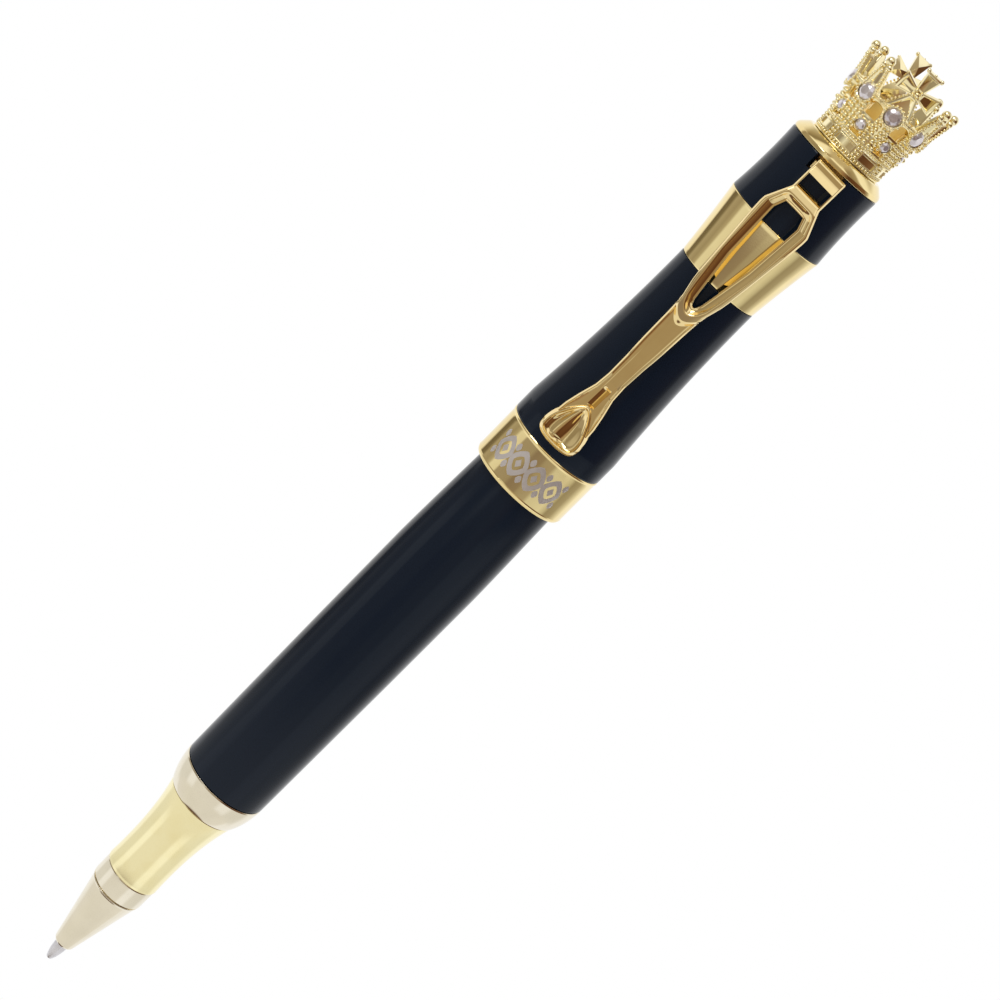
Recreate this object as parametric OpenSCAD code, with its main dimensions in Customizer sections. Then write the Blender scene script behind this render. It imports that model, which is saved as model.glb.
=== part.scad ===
// Rollerball pen with its cap posted on the tail of the barrel.
// The pen's axis is Z, with the writing point down and the crown up. The clip faces -Y.
// Heights are measured from the writing point. The origin is in the middle of the stretch
// of barrel where the pen is held, so every part is lowered by hold_z.

/* [Writing point] */
// Radius of the writing ball
ball_r = 0.35; // [0.25:0.05:0.35]
// Radius of the refill's steel point where it leaves the nose cone
point_r = 0.95; // [0.9:0.01:0.97]
// Radius of the refill's body
refill_r = 3.0; // [2.9:0.05:3.0]
// Length of the refill
refill_len = 110.6; // [109:0.1:110.6]
// Distance that the refill can be pushed in against its spring
refill_give = 1.5; // [0.5:0.1:2]

/* [Front section] */
// Height of the nose cone's mouth
cone_z = 3.2; // [3.1:0.1:3.4]
// Radius of the nose cone's mouth
cone_mouth_r = 1.35; // [1.3:0.01:1.5]
// Radius of the nose cone's wide end
cone_top_r = 3.68; // [3.66:0.01:3.75]
// Radius of the ring behind the nose cone
nose_ring_r = 3.78; // [3.75:0.01:3.85]
// Smallest radius of the grip
grip_r = 3.82; // [3.8:0.01:3.95]
// Radius of the grip where it meets the collar
grip_end_r = 5.0; // [4.9:0.05:5.2]

/* [Barrel] */
// Radius of the barrel where it is held
barrel_r = 6.12; // [6.08:0.01:6.15]
// Radius of the barrel's front edge
barrel_front_r = 6.03; // [5.95:0.01:6.05]
// Radius of the barrel's tail, inside the posted cap
tail_r = 4.55; // [4.45:0.01:4.6]
// Height of the barrel's front edge
barrel_z = 35.8; // [35.8:0.1:36]
// Height of the tail's end
tail_z = 120.0; // [119.6:0.1:120]

/* [Cap] */
// Height of the cap's mouth, when posted
cap_z = 89.8; // [89.6:0.1:90]
// Outer radius of the band round the cap's mouth
band_r = 6.68; // [6.65:0.01:6.8]
// Radius of the cap's waist, under the conical ring
waist_r = 5.6; // [5.58:0.01:5.65]
// Radius of the conical ring's wide end
cap_ring_r = 6.73; // [6.65:0.01:6.8]
// Smallest radius of the cap's top sleeve
top_r = 6.41; // [6.38:0.01:6.45]
// Radius of the ring under the crown
finial_r = 6.46; // [6.4:0.01:6.5]

/* [Clip] */
// Width of the clip's strap
strap_w = 4.2; // [4.1:0.1:4.3]
// Width of the clip's frame at its widest
frame_w = 6.9; // [6.8:0.1:7.2]
// Width of the paddle at the clip's end
paddle_w = 5.4; // [5:0.1:5.6]
// Height of the clip's lowest edge
clip_low_z = 98.35; // [98.2:0.05:98.6]
// Angle by which the clip sits askew, with its strap towards +X
clip_skew = 1.3; // [0:0.1:2]

/* [Crown] */
// Radius of the crown's base
crown_base_r = 4.85; // [4.8:0.01:4.95]
// Angle of the front cross from the clip, towards +X
crown_turn = 10; // [0:1:20]
// Width of the crosses
cross_w = 5.0; // [4.6:0.1:5.2]
// Height of the crosses
cross_h = 5.8; // [5.4:0.1:6]
// Radius of the large stones
stone_r = 1.05; // [0.95:0.01:1.1]
// Radius of the small stones
small_stone_r = 0.62; // [0.5:0.01:0.65]

/* [Hidden] */

round_fn = 96;
small_fn = 32;
fit = 0.05;          // radial clearance of pieces that slide or turn
wall = 0.62;         // wall of the cap's tube
cut = 1;             // how far a cutting shape runs past the solid it cuts

hold_z = 67.5;       // middle of the held stretch
hold_len = 15;       // length of the held stretch, a true cylinder
belly_z = hold_z + hold_len / 2;

nose_ring_z = 14.4;
groove = 0.15;       // dark groove between the cone and the ring
grip_z = 17.4;
seat_z = 19.0;       // end of the cone's spigot inside the grip
collar_z = 31.5;
spigot_r = 4.45;     // the grip's threaded spigot, drawn at its outer radius
spigot_end_z = 44.6;
collar_shank_r = 4.6;
bore_r = refill_r + 0.15;
bush_z = 36.4;
bush_end_z = 43.0;
bush_r = 5.2;
spigot_seat_r = 3.45;

plug_z = 118.6;
spring_z = refill_len;
spring_end_z = 117.4;
spring_wire_r = 0.2;
spring_r = 2.35;
spring_turns = 6;

band_end_z = 96.6;
clutch_z = 90.9;
clutch_end_z = 94.9;
band_bore_r = 6.35;
mouth_r = 6.15;
shoulder_z = 99.5;   // end of the cap's straight stretch above the band
ring_z = 123.7;
top_z = 133.1;
insert_z = 136.0;
bracket_z = 140.4;
top_end_z = 142.6;
finial_z = 142.65;
crown_z = 144.25;
cap_bore_r = 4.98;
cap_core_r = 5.35;   // outer radius of the tube inside the ring and the top sleeve
stud_r = 1.5;
stud_z = 137.5;

hinge_y = -3.6;
hinge_z = 141.45;
clip_pivot_z = 120;   // height at which the clip is on the pen's middle line
hinge_r = 0.6;

// Radius of the barrel from its belly to its tail
function tail_curve(z) =
    barrel_r - (barrel_r - tail_r) * pow((z - belly_z) / (tail_z - belly_z), 1.25);

// Radius of the grip, hollow like a saddle, from its ring to the collar
function grip_curve(z) =
    grip_r + (grip_end_r - grip_r) * pow(abs(z - 20.5) / (collar_z - 20.5), 2.25);

// Radius of the collar, bulging from the grip to the barrel
function collar_curve(z) =
    grip_end_r + 0.05 + (barrel_front_r - grip_end_r - 0.05)
    * sin(90 * pow((z - collar_z) / (barrel_z - collar_z), 0.85));

// Radius of the lower cap, from the band to the waist
function cap_curve(z) =
    waist_r + (band_r - 0.02 - waist_r) * (z <= shoulder_z ? 1 : pow((ring_z - z) / (ring_z - shoulder_z), 2));

// Radius of the conical ring
function ring_curve(z) =
    let (t = (z - ring_z) / (top_z - ring_z)) waist_r + (cap_ring_r - waist_r) * (0.8 * t + 0.2 * t * t);

// Radius of the cap's top sleeve, a shallow hollow
function top_curve(z) = top_r + 0.3 * pow((z - 139.6) / 6.5, 2);

// Points of an outline that follows a curve between two heights
function along(z0, z1, steps, f) = [for (i = [0:steps]) let (z = z0 + (z1 - z0) * i / steps) [f(z), z]];

module at_hold() translate([0, 0, -hold_z]) children();

module turned(outline) at_hold() rotate_extrude($fn = round_fn) polygon(outline);

module rod(r, z0, z1) translate([0, 0, z0]) cylinder(r = r, h = z1 - z0, $fn = round_fn);

module sleeve(r_out, r_in, z0, z1) difference() {
    rod(r_out, z0, z1);
    rod(r_in, z0 - cut, z1 + cut);
}

// ---------- refill ----------

module writing_ball() color("silver") at_hold() translate([0, 0, ball_r]) sphere(r = ball_r, $fn = small_fn);

module refill_point() color("silver") at_hold() difference() {
    union() {
        translate([0, 0, 0.2]) cylinder(r1 = ball_r + 0.07, r2 = point_r, h = 2.8, $fn = small_fn);
        rod(point_r, 3.0, 10);
    }
    translate([0, 0, ball_r]) sphere(r = ball_r + 0.02, $fn = small_fn);
    rod(0.2, ball_r, 5);
    rod(0.5, 4, 10 + cut);
}

module refill_nose() color("dimgray") at_hold() difference() {
    union() {
        rod(1.2, 6, 15.6);
        rod(refill_r - 0.35, 15.6, 20);
    }
    rod(point_r, 6 - cut, 10);
    rod(0.5, 10 - cut, 20 + cut);
}

module refill_feed() color("ivory") at_hold() {
    rod(0.5, 4, 20);
    rod(1.6, 20, 34);
}

module refill_tube() color("gainsboro") at_hold() difference() {
    rod(refill_r, 15, refill_len - 2.6);
    rod(1.2, 15 - cut, 16);
    rod(refill_r - 0.35, 15.6, refill_len);
}

module refill_ink() color("midnightblue") at_hold() difference() {
    rod(refill_r - 0.35, 20, 98);
    rod(1.6, 20 - cut, 34);
}

module refill_plug() color("white") at_hold() {
    rod(refill_r - 0.35, refill_len - 4.6, refill_len - 2.6);
    rod(refill_r, refill_len - 2.6, refill_len - 0.05);
}

// One ring of the spring's wire: sides points round the wire's centre
function wire_ring(turn_angle, z, sides) = [
    for (k = [0:sides - 1])
        let (a = 360 * k / sides, r = spring_r + spring_wire_r * cos(a))
        [r * cos(turn_angle), r * sin(turn_angle), z + spring_wire_r * sin(a)]
];

module refill_spring() {
    sides = 8;
    rings = 84;
    rise = spring_end_z - spring_z - 2 * spring_wire_r - 0.04;
    points = [
        for (i = [0:rings])
            each wire_ring(
                360 * spring_turns * i / rings,
                spring_z + spring_wire_r + 0.02 + rise * i / rings,
                sides
            )
    ];
    walls = [
        for (i = [0:rings - 1], k = [0:sides - 1])
            let (next = (k + 1) % sides, a = i * sides, b = a + sides)
            [a + k, b + k, b + next, a + next]
    ];
    ends = [[for (k = [0:sides - 1]) k], [for (k = [sides - 1:-1:0]) rings * sides + k]];
    color("lightsteelblue") at_hold() polyhedron(points = points, faces = concat(walls, ends), convexity = 10);
}

// ---------- front section ----------

module nose_cone() color("palegoldenrod") difference() {
    turned([
        [0, cone_z], [cone_mouth_r - 0.1, cone_z], [cone_mouth_r, cone_z + 0.12],
        [cone_top_r, nose_ring_z - groove - 0.1], [cone_top_r - 0.08, nose_ring_z - groove],
        [spigot_seat_r, nose_ring_z - groove], [spigot_seat_r, seat_z], [0, seat_z]
    ]);
    at_hold() {
        rod(point_r + fit, cone_z - cut, 5.4);
        rod(1.3, 5.2, 15);
        rod(bore_r, 14.9, seat_z + cut);
    }
}

module nose_ring() color("palegoldenrod") turned([
    [spigot_seat_r, nose_ring_z], [nose_ring_r - 0.08, nose_ring_z], [nose_ring_r, nose_ring_z + 0.1],
    [nose_ring_r, grip_z - 0.1], [nose_ring_r - 0.06, grip_z], [spigot_seat_r, grip_z]
]);

module grip_section() color("khaki") difference() {
    turned(concat(
        [[0, grip_z], [grip_curve(grip_z) - 0.06, grip_z]],
        along(grip_z + 0.08, collar_z, 14, function (z) grip_curve(z)),
        [
            [collar_shank_r, collar_z], [collar_shank_r, barrel_z - 0.1], [spigot_r, barrel_z - 0.1],
            [spigot_r, spigot_end_z - 0.3], [spigot_r - 0.3, spigot_end_z], [0, spigot_end_z]
        ]
    ));
    at_hold() {
        rod(spigot_seat_r, grip_z - cut, seat_z);
        rod(bore_r, grip_z - cut, spigot_end_z + cut);
        sleeve(spigot_r + cut, 3.65, 42.7, 43.6);
    }
}

module section_o_ring() color("black") at_hold() translate([0, 0, 43.15])
    rotate_extrude($fn = round_fn) translate([4.05, 0]) circle(r = 0.39, $fn = small_fn);

module section_collar() color("palegoldenrod") turned(concat(
    [[collar_shank_r + fit, collar_z + fit]],
    along(collar_z + fit, barrel_z - 0.1, 10, function (z) collar_curve(z)),
    [[barrel_front_r - 0.06, barrel_z], [collar_shank_r + fit, barrel_z]]
));

// ---------- barrel ----------

module barrel_tube() color("midnightblue") turned(concat(
    [
        [bush_r, barrel_z + fit], [barrel_front_r - 0.1, barrel_z + fit], [barrel_front_r, barrel_z + 0.2],
        [barrel_r, hold_z - hold_len / 2], [barrel_r, belly_z]
    ],
    along(belly_z + 4, plug_z, 10, function (z) tail_curve(z)),
    [[3.35, plug_z], [3.35, 114], [bush_r - 0.5, 96], [bush_r - 0.5, bush_end_z], [bush_r, bush_end_z]]
));

module barrel_bush() color("goldenrod") at_hold() sleeve(bush_r, spigot_r + fit, bush_z, bush_end_z);

module barrel_plug() color("gold") difference() {
    turned([
        [0, 114.6], [3.35, 114.6], [3.35, plug_z], [tail_curve(plug_z), plug_z],
        [tail_curve(plug_z), tail_z - 0.8], [tail_curve(plug_z) - 0.35, tail_z - 0.3],
        [tail_curve(plug_z) - 1.0, tail_z], [0, tail_z]
    ]);
    at_hold() rod(spring_r + spring_wire_r + 0.15, 114.6 - cut, spring_end_z);
}

// ---------- cap ----------

module clutch_ring() color("dimgray") turned([
    [tail_curve(clutch_z) + 0.03, clutch_z], [band_bore_r - fit, clutch_z],
    [band_bore_r - fit, clutch_end_z], [tail_curve(clutch_end_z) + 0.03, clutch_end_z]
]);

module cap_band() color("gold") turned([
    [mouth_r, cap_z], [band_r - 0.2, cap_z], [band_r, cap_z + 0.25], [band_r, band_end_z - 0.2],
    [band_r - 0.12, band_end_z], [band_bore_r, band_end_z], [band_bore_r, clutch_z - 0.15],
    [mouth_r, clutch_z - 0.15]
]);

module cap_tube() color("midnightblue") turned(concat(
    [[band_bore_r - 0.25, clutch_end_z + 0.15], [band_bore_r, clutch_end_z + 0.15], [band_bore_r, band_end_z]],
    along(band_end_z, ring_z, 18, function (z) cap_curve(z)),
    [[cap_core_r, ring_z], [cap_core_r, insert_z], [cap_bore_r, insert_z], [cap_bore_r, 118]],
    along(115, band_end_z, 10, function (z) max(cap_bore_r, cap_curve(z) - wall))
));

module cap_ring() color("gold") turned(concat(
    [[cap_core_r, ring_z]],
    along(ring_z, top_z, 10, function (z) ring_curve(z)),
    [[cap_core_r, top_z]]
));

module cap_top() color("midnightblue") difference() {
    turned(concat(
        [[cap_core_r, top_z]],
        along(top_z, top_end_z, 12, function (z) top_curve(z)),
        [[cap_core_r, top_end_z]]
    ));
    // Slot that the clip's neck passes through
    at_hold() translate([-strap_w / 2 - 0.1, -top_r - cut, bracket_z + 0.3])
        cube([strap_w + 0.2, 3, top_end_z - bracket_z + cut]);
}

module cap_liner() color("dimgray") at_hold() difference() {
    rod(cap_bore_r, 121, 131.5);
    rod(4.2, 121 - cut, 130);
}

module cap_insert() color("goldenrod") at_hold() sleeve(cap_core_r, stud_r + fit, insert_z, bracket_z);

module clip_bracket() color("goldenrod") at_hold() difference() {
    sleeve(cap_core_r - 0.03, stud_r + fit, bracket_z, top_end_z - 0.1);
    translate([-2.6, hinge_y, hinge_z]) rotate([0, 90, 0]) cylinder(r = hinge_r + 0.03, h = 5.2, $fn = small_fn);
    translate([-1.9, -cap_core_r - cut, bracket_z + 0.4])
        cube([3.8, cap_core_r + cut + hinge_y, top_end_z - bracket_z]);
}

// ---------- clip ----------

// The clip from the side, as (y, z): strap, frame, step, shank and turned-up paddle
function clip_side() = [
    [-6.55, 142.35], [-7.0, 142.35], [-7.65, 141.7], [-7.75, 141.0], [-8.35, 135.3], [-8.3, 132.0],
    [-7.95, 120.0], [-7.85, 118.6], [-7.4, 118.0], [-7.25, 112.0], [-7.1, 106.2], [-7.6, 103.8],
    [-8.2, 101.0], [-8.4, 99.2], [-8.2, clip_low_z], [-7.6, clip_low_z], [-7.1, 100.2], [-6.75, 103.6],
    [-6.42, 105.4], [-6.42, 106.8], [-6.6, 112.0], [-6.85, 120.0], [-7.12, 130.0], [-7.15, 134.0],
    [-6.85, 137.0], [-6.6, 140.0]
];

// Half of the clip from the front, as (x, z)
function clip_half() = [
    [strap_w / 2, 142.6], [strap_w / 2, 138.3], [frame_w / 2, 135.3], [frame_w / 2 - 0.1, 133.0],
    [2.5, 124.0], [1.9, 119.8], [1.7, 117.0], [1.6, 114.0], [1.4, 111.5], [1.3, 108.5], [1.45, 106.5],
    [2.0, 104.3], [paddle_w / 2 - 0.05, 100.6], [paddle_w / 2, 99.8], [paddle_w / 2 - 0.15, 98.9],
    [paddle_w / 2 - 0.6, clip_low_z]
];

function mirrored(half) = concat(half, [for (i = [len(half) - 1:-1:0]) [-half[i][0], half[i][1]]]);

// A flat outline drawn in X and Z, standing upright and running from y = -12 towards the axis
module upright(outline, depth) translate([0, -12 + depth, 0]) rotate([90, 0, 0])
    linear_extrude(height = depth) polygon(outline);

module clip_blade() difference() {
    intersection() {
        translate([-frame_w / 2, 0, 0]) rotate([90, 0, 90]) linear_extrude(height = frame_w) polygon(clip_side());
        upright(mirrored(clip_half()), 8);
    }
    // Window in the strap, and the drop-shaped hole in the frame
    translate([-1.75, -9, 138.4]) cube([3.5, 4, 2.2]);
    upright(mirrored([[1.2, 136.6], [1.8, 135.2], [1.45, 128.0], [0.5, 121.4], [0.25, 120.9]]), 8);
}

module clip() color("gold") at_hold() {
    translate([0, 0, clip_pivot_z]) rotate([0, clip_skew, 0]) translate([0, 0, -clip_pivot_z]) clip_blade();
    translate([-1.8, -6.8, hinge_z - 0.45]) cube([3.6, 6.8 + hinge_y, 0.9]);
    translate([-2.55, hinge_y, hinge_z]) rotate([0, 90, 0]) cylinder(r = hinge_r, h = 5.1, $fn = small_fn);
}

// ---------- finial and crown ----------

module finial_ring() color("gold") turned([
    [stud_r + 0.1, finial_z], [finial_r - 0.08, finial_z], [finial_r, finial_z + 0.08],
    [finial_r, finial_z + 0.35], [finial_r - 0.15, finial_z + 0.7], [5.45, crown_z - 0.15],
    [5.2, crown_z - 0.05], [stud_r + 0.1, crown_z - 0.05]
]);

module crown_stud() color("goldenrod") at_hold() rod(stud_r, stud_z, 145.2);

points = 8;
point_step = 360 / points;
base_top_z = 146.5;
rail_z = 151.4;
stone_z = 151.0;
small_stone_z = 148.4;
cross_z = 154.6;
flare = 12;          // outward lean of the crosses and points, in degrees

// Outer radius of the crown's flared wall
function crown_curve(z) = 4.72 + 0.2 * (z - 147.6) * (z > 147.6 ? 1 : 0);

// The same thing at some of the crown's points, counted from the front cross
module at_points(first, step, offset = 0) for (i = [first:step:points - 1])
    rotate([0, 0, crown_turn + point_step * i + offset]) children();

// A round seat or stone that points outward at one height of the wall
module facing_out(z, from_y, depth, r1, r2) translate([0, from_y, z]) rotate([90, 0, 0])
    cylinder(r1 = r1, r2 = r2, h = depth, $fn = small_fn);

module cross_plate() {
    half_w = cross_w / 2;
    half_h = cross_h / 2;
    waist = 0.55;
    end_w = 1.05;
    foot_w = 1.8;
    translate([0, -5.75, cross_z]) rotate([90 + flare, 0, 0]) linear_extrude(height = 1.1, center = true) polygon([
        [waist, waist], [end_w, half_h], [-end_w, half_h], [-waist, waist], [-half_w, end_w], [-half_w, -end_w],
        [-waist, -waist], [-foot_w, -half_h], [foot_w, -half_h], [waist, -waist], [half_w, -end_w], [half_w, end_w]
    ]);
}

// A narrow point with a knot of three balls at its tip
module knotted_point() translate([0, -5.3, rail_z - 0.3]) {
    rotate([90 + flare, 0, 0]) linear_extrude(height = 0.9, center = true)
        polygon([[-1.15, 0], [1.15, 0], [0.5, 3.5], [-0.5, 3.5]]);
    rotate([flare, 0, 0]) {
        translate([0, 0, 4.05]) sphere(r = 0.6, $fn = small_fn);
        for (side = [-1, 1]) translate([side * 0.4, 0, 3.45]) sphere(r = 0.42, $fn = small_fn);
    }
}

module crown() color("gold") at_hold() difference() {
    union() {
        rotate_extrude($fn = round_fn) polygon([
            [stud_r, crown_z], [crown_base_r, crown_z], [crown_base_r, base_top_z],
            [crown_curve(base_top_z), base_top_z], [crown_curve(147.6), 147.6], [crown_curve(rail_z), rail_z],
            [crown_curve(rail_z) - 0.8, rail_z], [3.9, 147.6], [3.9, 145.2], [stud_r, 145.2]
        ]);
        at_points(0, points / 2) cross_plate();
        for (i = [1, 2, 3]) at_points(i, points / 2) knotted_point();
        at_points(0, 1) facing_out(stone_z, -4.6, 1.1, stone_r + 0.3, stone_r + 0.3);
        at_points(0, 1, point_step / 2) facing_out(small_stone_z, -4.1, 1.05, small_stone_r + 0.2, small_stone_r + 0.2);
    }
    at_points(0, 1) facing_out(stone_z, -5.25, 3, stone_r, stone_r);
    at_points(0, 1, point_step / 2) {
        facing_out(small_stone_z, -4.85, 3, small_stone_r, small_stone_r);
        translate([-1.0, -7, 146.7]) cube([2.0, 4, 0.8]);
        translate([-1.0, -7, 149.35]) cube([2.0, 4, 1.5]);
    }
}

module crown_stones() color("white") at_hold() at_points(0, 1) {
    facing_out(stone_z, -5.25, 0.35, stone_r, stone_r);
    facing_out(stone_z, -5.6, 0.35, stone_r, stone_r * 0.6);
}

module crown_small_stones() color("white") at_hold() at_points(0, 1, point_step / 2) {
    facing_out(small_stone_z, -4.85, 0.25, small_stone_r, small_stone_r);
    facing_out(small_stone_z, -5.1, 0.22, small_stone_r, small_stone_r * 0.6);
}

writing_ball();
refill_point();
refill_nose();
refill_feed();
refill_tube();
refill_ink();
refill_plug();
refill_spring();
nose_cone();
nose_ring();
grip_section();
section_o_ring();
section_collar();
barrel_tube();
barrel_bush();
barrel_plug();
clutch_ring();
cap_band();
cap_tube();
cap_ring();
cap_top();
cap_liner();
cap_insert();
clip_bracket();
clip();
finial_ring();
crown();
crown_stud();
crown_stones();
crown_small_stones();
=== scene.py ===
"""Looks of the rollerball pen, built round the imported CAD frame.

Lengths are in millimetres along the pen, counted from the writing point, until place() turns them into metres in
the frame's own coordinates. The pen's axis is Z, the crown is up and the clip faces -Y.
"""

import math

import bmesh
import bpy
from mathutils import Matrix, Vector


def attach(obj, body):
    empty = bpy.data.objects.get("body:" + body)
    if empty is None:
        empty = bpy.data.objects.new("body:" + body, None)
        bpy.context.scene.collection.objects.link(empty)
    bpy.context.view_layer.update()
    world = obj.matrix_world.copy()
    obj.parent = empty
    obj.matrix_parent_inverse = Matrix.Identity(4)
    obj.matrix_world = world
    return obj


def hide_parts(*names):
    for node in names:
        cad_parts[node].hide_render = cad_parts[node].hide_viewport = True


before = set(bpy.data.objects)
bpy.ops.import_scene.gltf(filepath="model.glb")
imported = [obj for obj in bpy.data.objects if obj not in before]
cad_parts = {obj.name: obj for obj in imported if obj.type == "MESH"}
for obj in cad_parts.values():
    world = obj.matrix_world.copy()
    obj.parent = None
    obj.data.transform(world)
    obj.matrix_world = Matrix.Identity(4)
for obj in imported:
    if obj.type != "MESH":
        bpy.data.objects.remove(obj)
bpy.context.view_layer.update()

MM = 0.001
HOLD_Z = 67.5  # height of the frame's origin above the writing point
TAU = 2 * math.pi
ROUND, MIDDLE_ROUND, SMALL_ROUND = 160, 96, 72  # segments round large, middling and small turned parts


# ---------------------------------------------------------------- shapes shared with the CAD

# Barrel: its radius up to the belly, at its front end and at its tail, and the heights of the belly and the tail
BARREL_R, BARREL_FRONT_R, TAIL_R, BELLY_Z, TAIL_Z = 6.12, 6.03, 4.55, 75.0, 120.0
# Grip and collar: the grip's waist and end, and the heights of the waist, the collar and the barrel's front
GRIP_R, GRIP_END_R, GRIP_WAIST_Z, COLLAR_Z, BARREL_Z = 3.82, 5.0, 20.5, 31.5, 35.8
# Cap: radii of the waist, the band, the conical ring's top, the top sleeve's waist, the core and the bore
WAIST_R, BAND_R, CAP_RING_R, TOP_R, CORE_R, CAP_BORE_R = 5.6, 6.68, 6.73, 6.41, 5.35, 4.98
# Cap: heights where the flare straightens, where the ring starts and ends, and of the top sleeve's waist
SHOULDER_Z, RING_Z, TOP_Z, TOP_WAIST_Z = 99.5, 123.7, 133.1, 139.6
# Crown: the front cross's angle from the clip, towards +X, and how many points it has
CROWN_TURN, POINTS = 10.0, 8
SECTOR = 360 / POINTS  # from one point of the crown to the next


def tail_curve(z):
    """The barrel's radius at a height from the belly to the tail."""
    return BARREL_R - (BARREL_R - TAIL_R) * (max(z - BELLY_Z, 0) / (TAIL_Z - BELLY_Z)) ** 1.25


def grip_curve(z):
    """The grip's radius, hollow like a saddle."""
    return GRIP_R + (GRIP_END_R - GRIP_R) * (abs(z - GRIP_WAIST_Z) / (COLLAR_Z - GRIP_WAIST_Z)) ** 2.25


def collar_curve(z):
    """The collar's radius, flaring up to the barrel."""
    t = max(z - COLLAR_Z, 0) / (BARREL_Z - COLLAR_Z)
    return GRIP_END_R + 0.05 + (BARREL_FRONT_R - GRIP_END_R - 0.05) * math.sin(math.pi / 2 * t**0.85)


def cap_curve(z):
    """The lower cap's radius, flaring down from the waist to the band."""
    t = 1.0 if z <= SHOULDER_Z else (RING_Z - z) / (RING_Z - SHOULDER_Z)
    return WAIST_R + (BAND_R - 0.02 - WAIST_R) * t * t


def ring_curve(z):
    """The conical ring's radius."""
    t = (z - RING_Z) / (TOP_Z - RING_Z)
    return WAIST_R + (CAP_RING_R - WAIST_R) * (0.8 * t + 0.2 * t * t)


def top_curve(z):
    """The top sleeve's radius, least at its waist."""
    return TOP_R + 0.3 * ((z - TOP_WAIST_Z) / 6.5) ** 2


def crown_curve(z):
    """The crown wall's outer radius."""
    return 4.72 + 0.2 * max(z - 147.6, 0)


def steps(a, b, n):
    """The ends and the points between them that divide a to b into n equal parts."""
    return [a + (b - a) * i / n for i in range(n + 1)]


def along(z0, z1, n, curve):
    """Points of an outline that follow a curve between two heights, as (radius, height)."""
    return [(curve(z), z) for z in steps(z0, z1, n)]


def blend_stations(stations, z):
    """The value at z of a list of (z, value), straight between the stations."""
    rows = sorted(stations)
    if z <= rows[0][0]:
        return rows[0][1]
    for (z0, a), (z1, b) in zip(rows, rows[1:]):
        if z <= z1:
            return a + (b - a) * (z - z0) / (z1 - z0)
    return rows[-1][1]


# ---------------------------------------------------------------- mesh making

WELD = 2e-7  # metres within which two corners count as one
ON_AXIS = 1e-6  # millimetres from the axis below which a ring is a single point


def place(points):
    """Points in millimetres from the writing point, turned into the frame's metres."""
    return [(x * MM, y * MM, (z - HOLD_Z) * MM) for x, y, z in points]


def circle(r, z, count, shift=0.0):
    """Points evenly round the pen's axis; a shift of 1 is a whole step between them."""
    angles = [TAU * (k + shift) / count for k in range(count)]
    return [(r * math.cos(a), r * math.sin(a), z) for a in angles]


def quads(low, high, count):
    """The faces between two rings of corners, each ring given by the number of its first corner."""
    return [[low + k, low + (k + 1) % count, high + (k + 1) % count, high + k] for k in range(count)]


def sharpen(mesh, angle):
    """Smooth shading, with an edge left sharp where its faces turn by more than the angle."""
    mesh.shade_smooth()
    mesh.set_sharp_from_angle(angle=math.radians(angle))


def linked(name, data):
    """A new object in the scene's collection."""
    made = bpy.data.objects.new(name, data)
    bpy.context.scene.collection.objects.link(made)
    return made


def mesh_object(name, points, faces, material, angle=32):
    """A plain mesh object in the frame, from points in millimetres."""
    mesh = bpy.data.meshes.new(name)
    mesh.from_pydata(place(points), [], faces)
    work = bmesh.new()
    work.from_mesh(mesh)
    bmesh.ops.remove_doubles(work, verts=work.verts, dist=WELD)
    bmesh.ops.recalc_face_normals(work, faces=work.faces)
    work.to_mesh(mesh)
    work.free()
    mesh.materials.append(material)
    sharpen(mesh, angle)
    return linked(name, mesh)


def baked(made, angle=32):
    """The object with its modifiers turned into plain mesh."""
    bpy.context.view_layer.update()
    evaluated = made.evaluated_get(bpy.context.evaluated_depsgraph_get())
    mesh = bpy.data.meshes.new_from_object(evaluated)
    old = made.data
    made.modifiers.clear()
    made.data = mesh
    mesh.name = made.name
    bpy.data.meshes.remove(old)
    sharpen(mesh, angle)
    return made


def bevelled(made, width, segments=2, limit=30, angle=40):
    """The object with its edges that turn by more than the limit rounded off."""
    bevel = made.modifiers.new("edges", "BEVEL")
    bevel.width = width * MM
    bevel.segments = segments
    bevel.limit_method = "ANGLE"
    bevel.angle_limit = math.radians(limit)
    bevel.use_clamp_overlap = True
    bevel.harden_normals = False
    return baked(made, angle)


def filleted(outline, radius, arc=3):
    """A closed outline with its corners rounded, each by no more than its shorter side allows."""
    result = []
    count = len(outline)
    for i, (x, y) in enumerate(outline):
        before = Vector(outline[i - 1]) - Vector((x, y))
        after = Vector(outline[(i + 1) % count]) - Vector((x, y))
        turn = before.angle(after, math.pi) if before.length and after.length else math.pi
        if x < ON_AXIS or turn > math.radians(165):
            result.append((x, y))
            continue
        reach = min(radius / math.tan(turn / 2), 0.45 * before.length, 0.45 * after.length)
        start = Vector((x, y)) + before.normalized() * reach
        end = Vector((x, y)) + after.normalized() * reach
        for k in range(arc + 1):
            t = k / arc
            point = start * (1 - t) ** 2 + Vector((x, y)) * 2 * t * (1 - t) + end * t * t
            result.append((point.x, point.y))
    return result


def lathe(name, outline, material, fillet=0.06, segments=ROUND, angle=32):
    """The solid that a closed outline of (radius, height) turns into round the pen's axis."""
    outline = filleted(outline, fillet) if fillet else outline
    points, faces, rings = [], [], []
    for r, z in outline:
        if r < ON_AXIS:
            rings.append([len(points)])
            points.append((0, 0, z))
        else:
            rings.append(list(range(len(points), len(points) + segments)))
            points += circle(r, z, segments)
    for i, low in enumerate(rings):
        high = rings[(i + 1) % len(rings)]
        if len(low) == 1 and len(high) == 1:
            continue
        for k in range(segments):
            n = (k + 1) % segments
            corners = [low[k % len(low)], low[n % len(low)], high[n % len(high)], high[k % len(high)]]
            faces.append(list(dict.fromkeys(corners)))
    return mesh_object(name, points, faces, material, angle)


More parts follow.
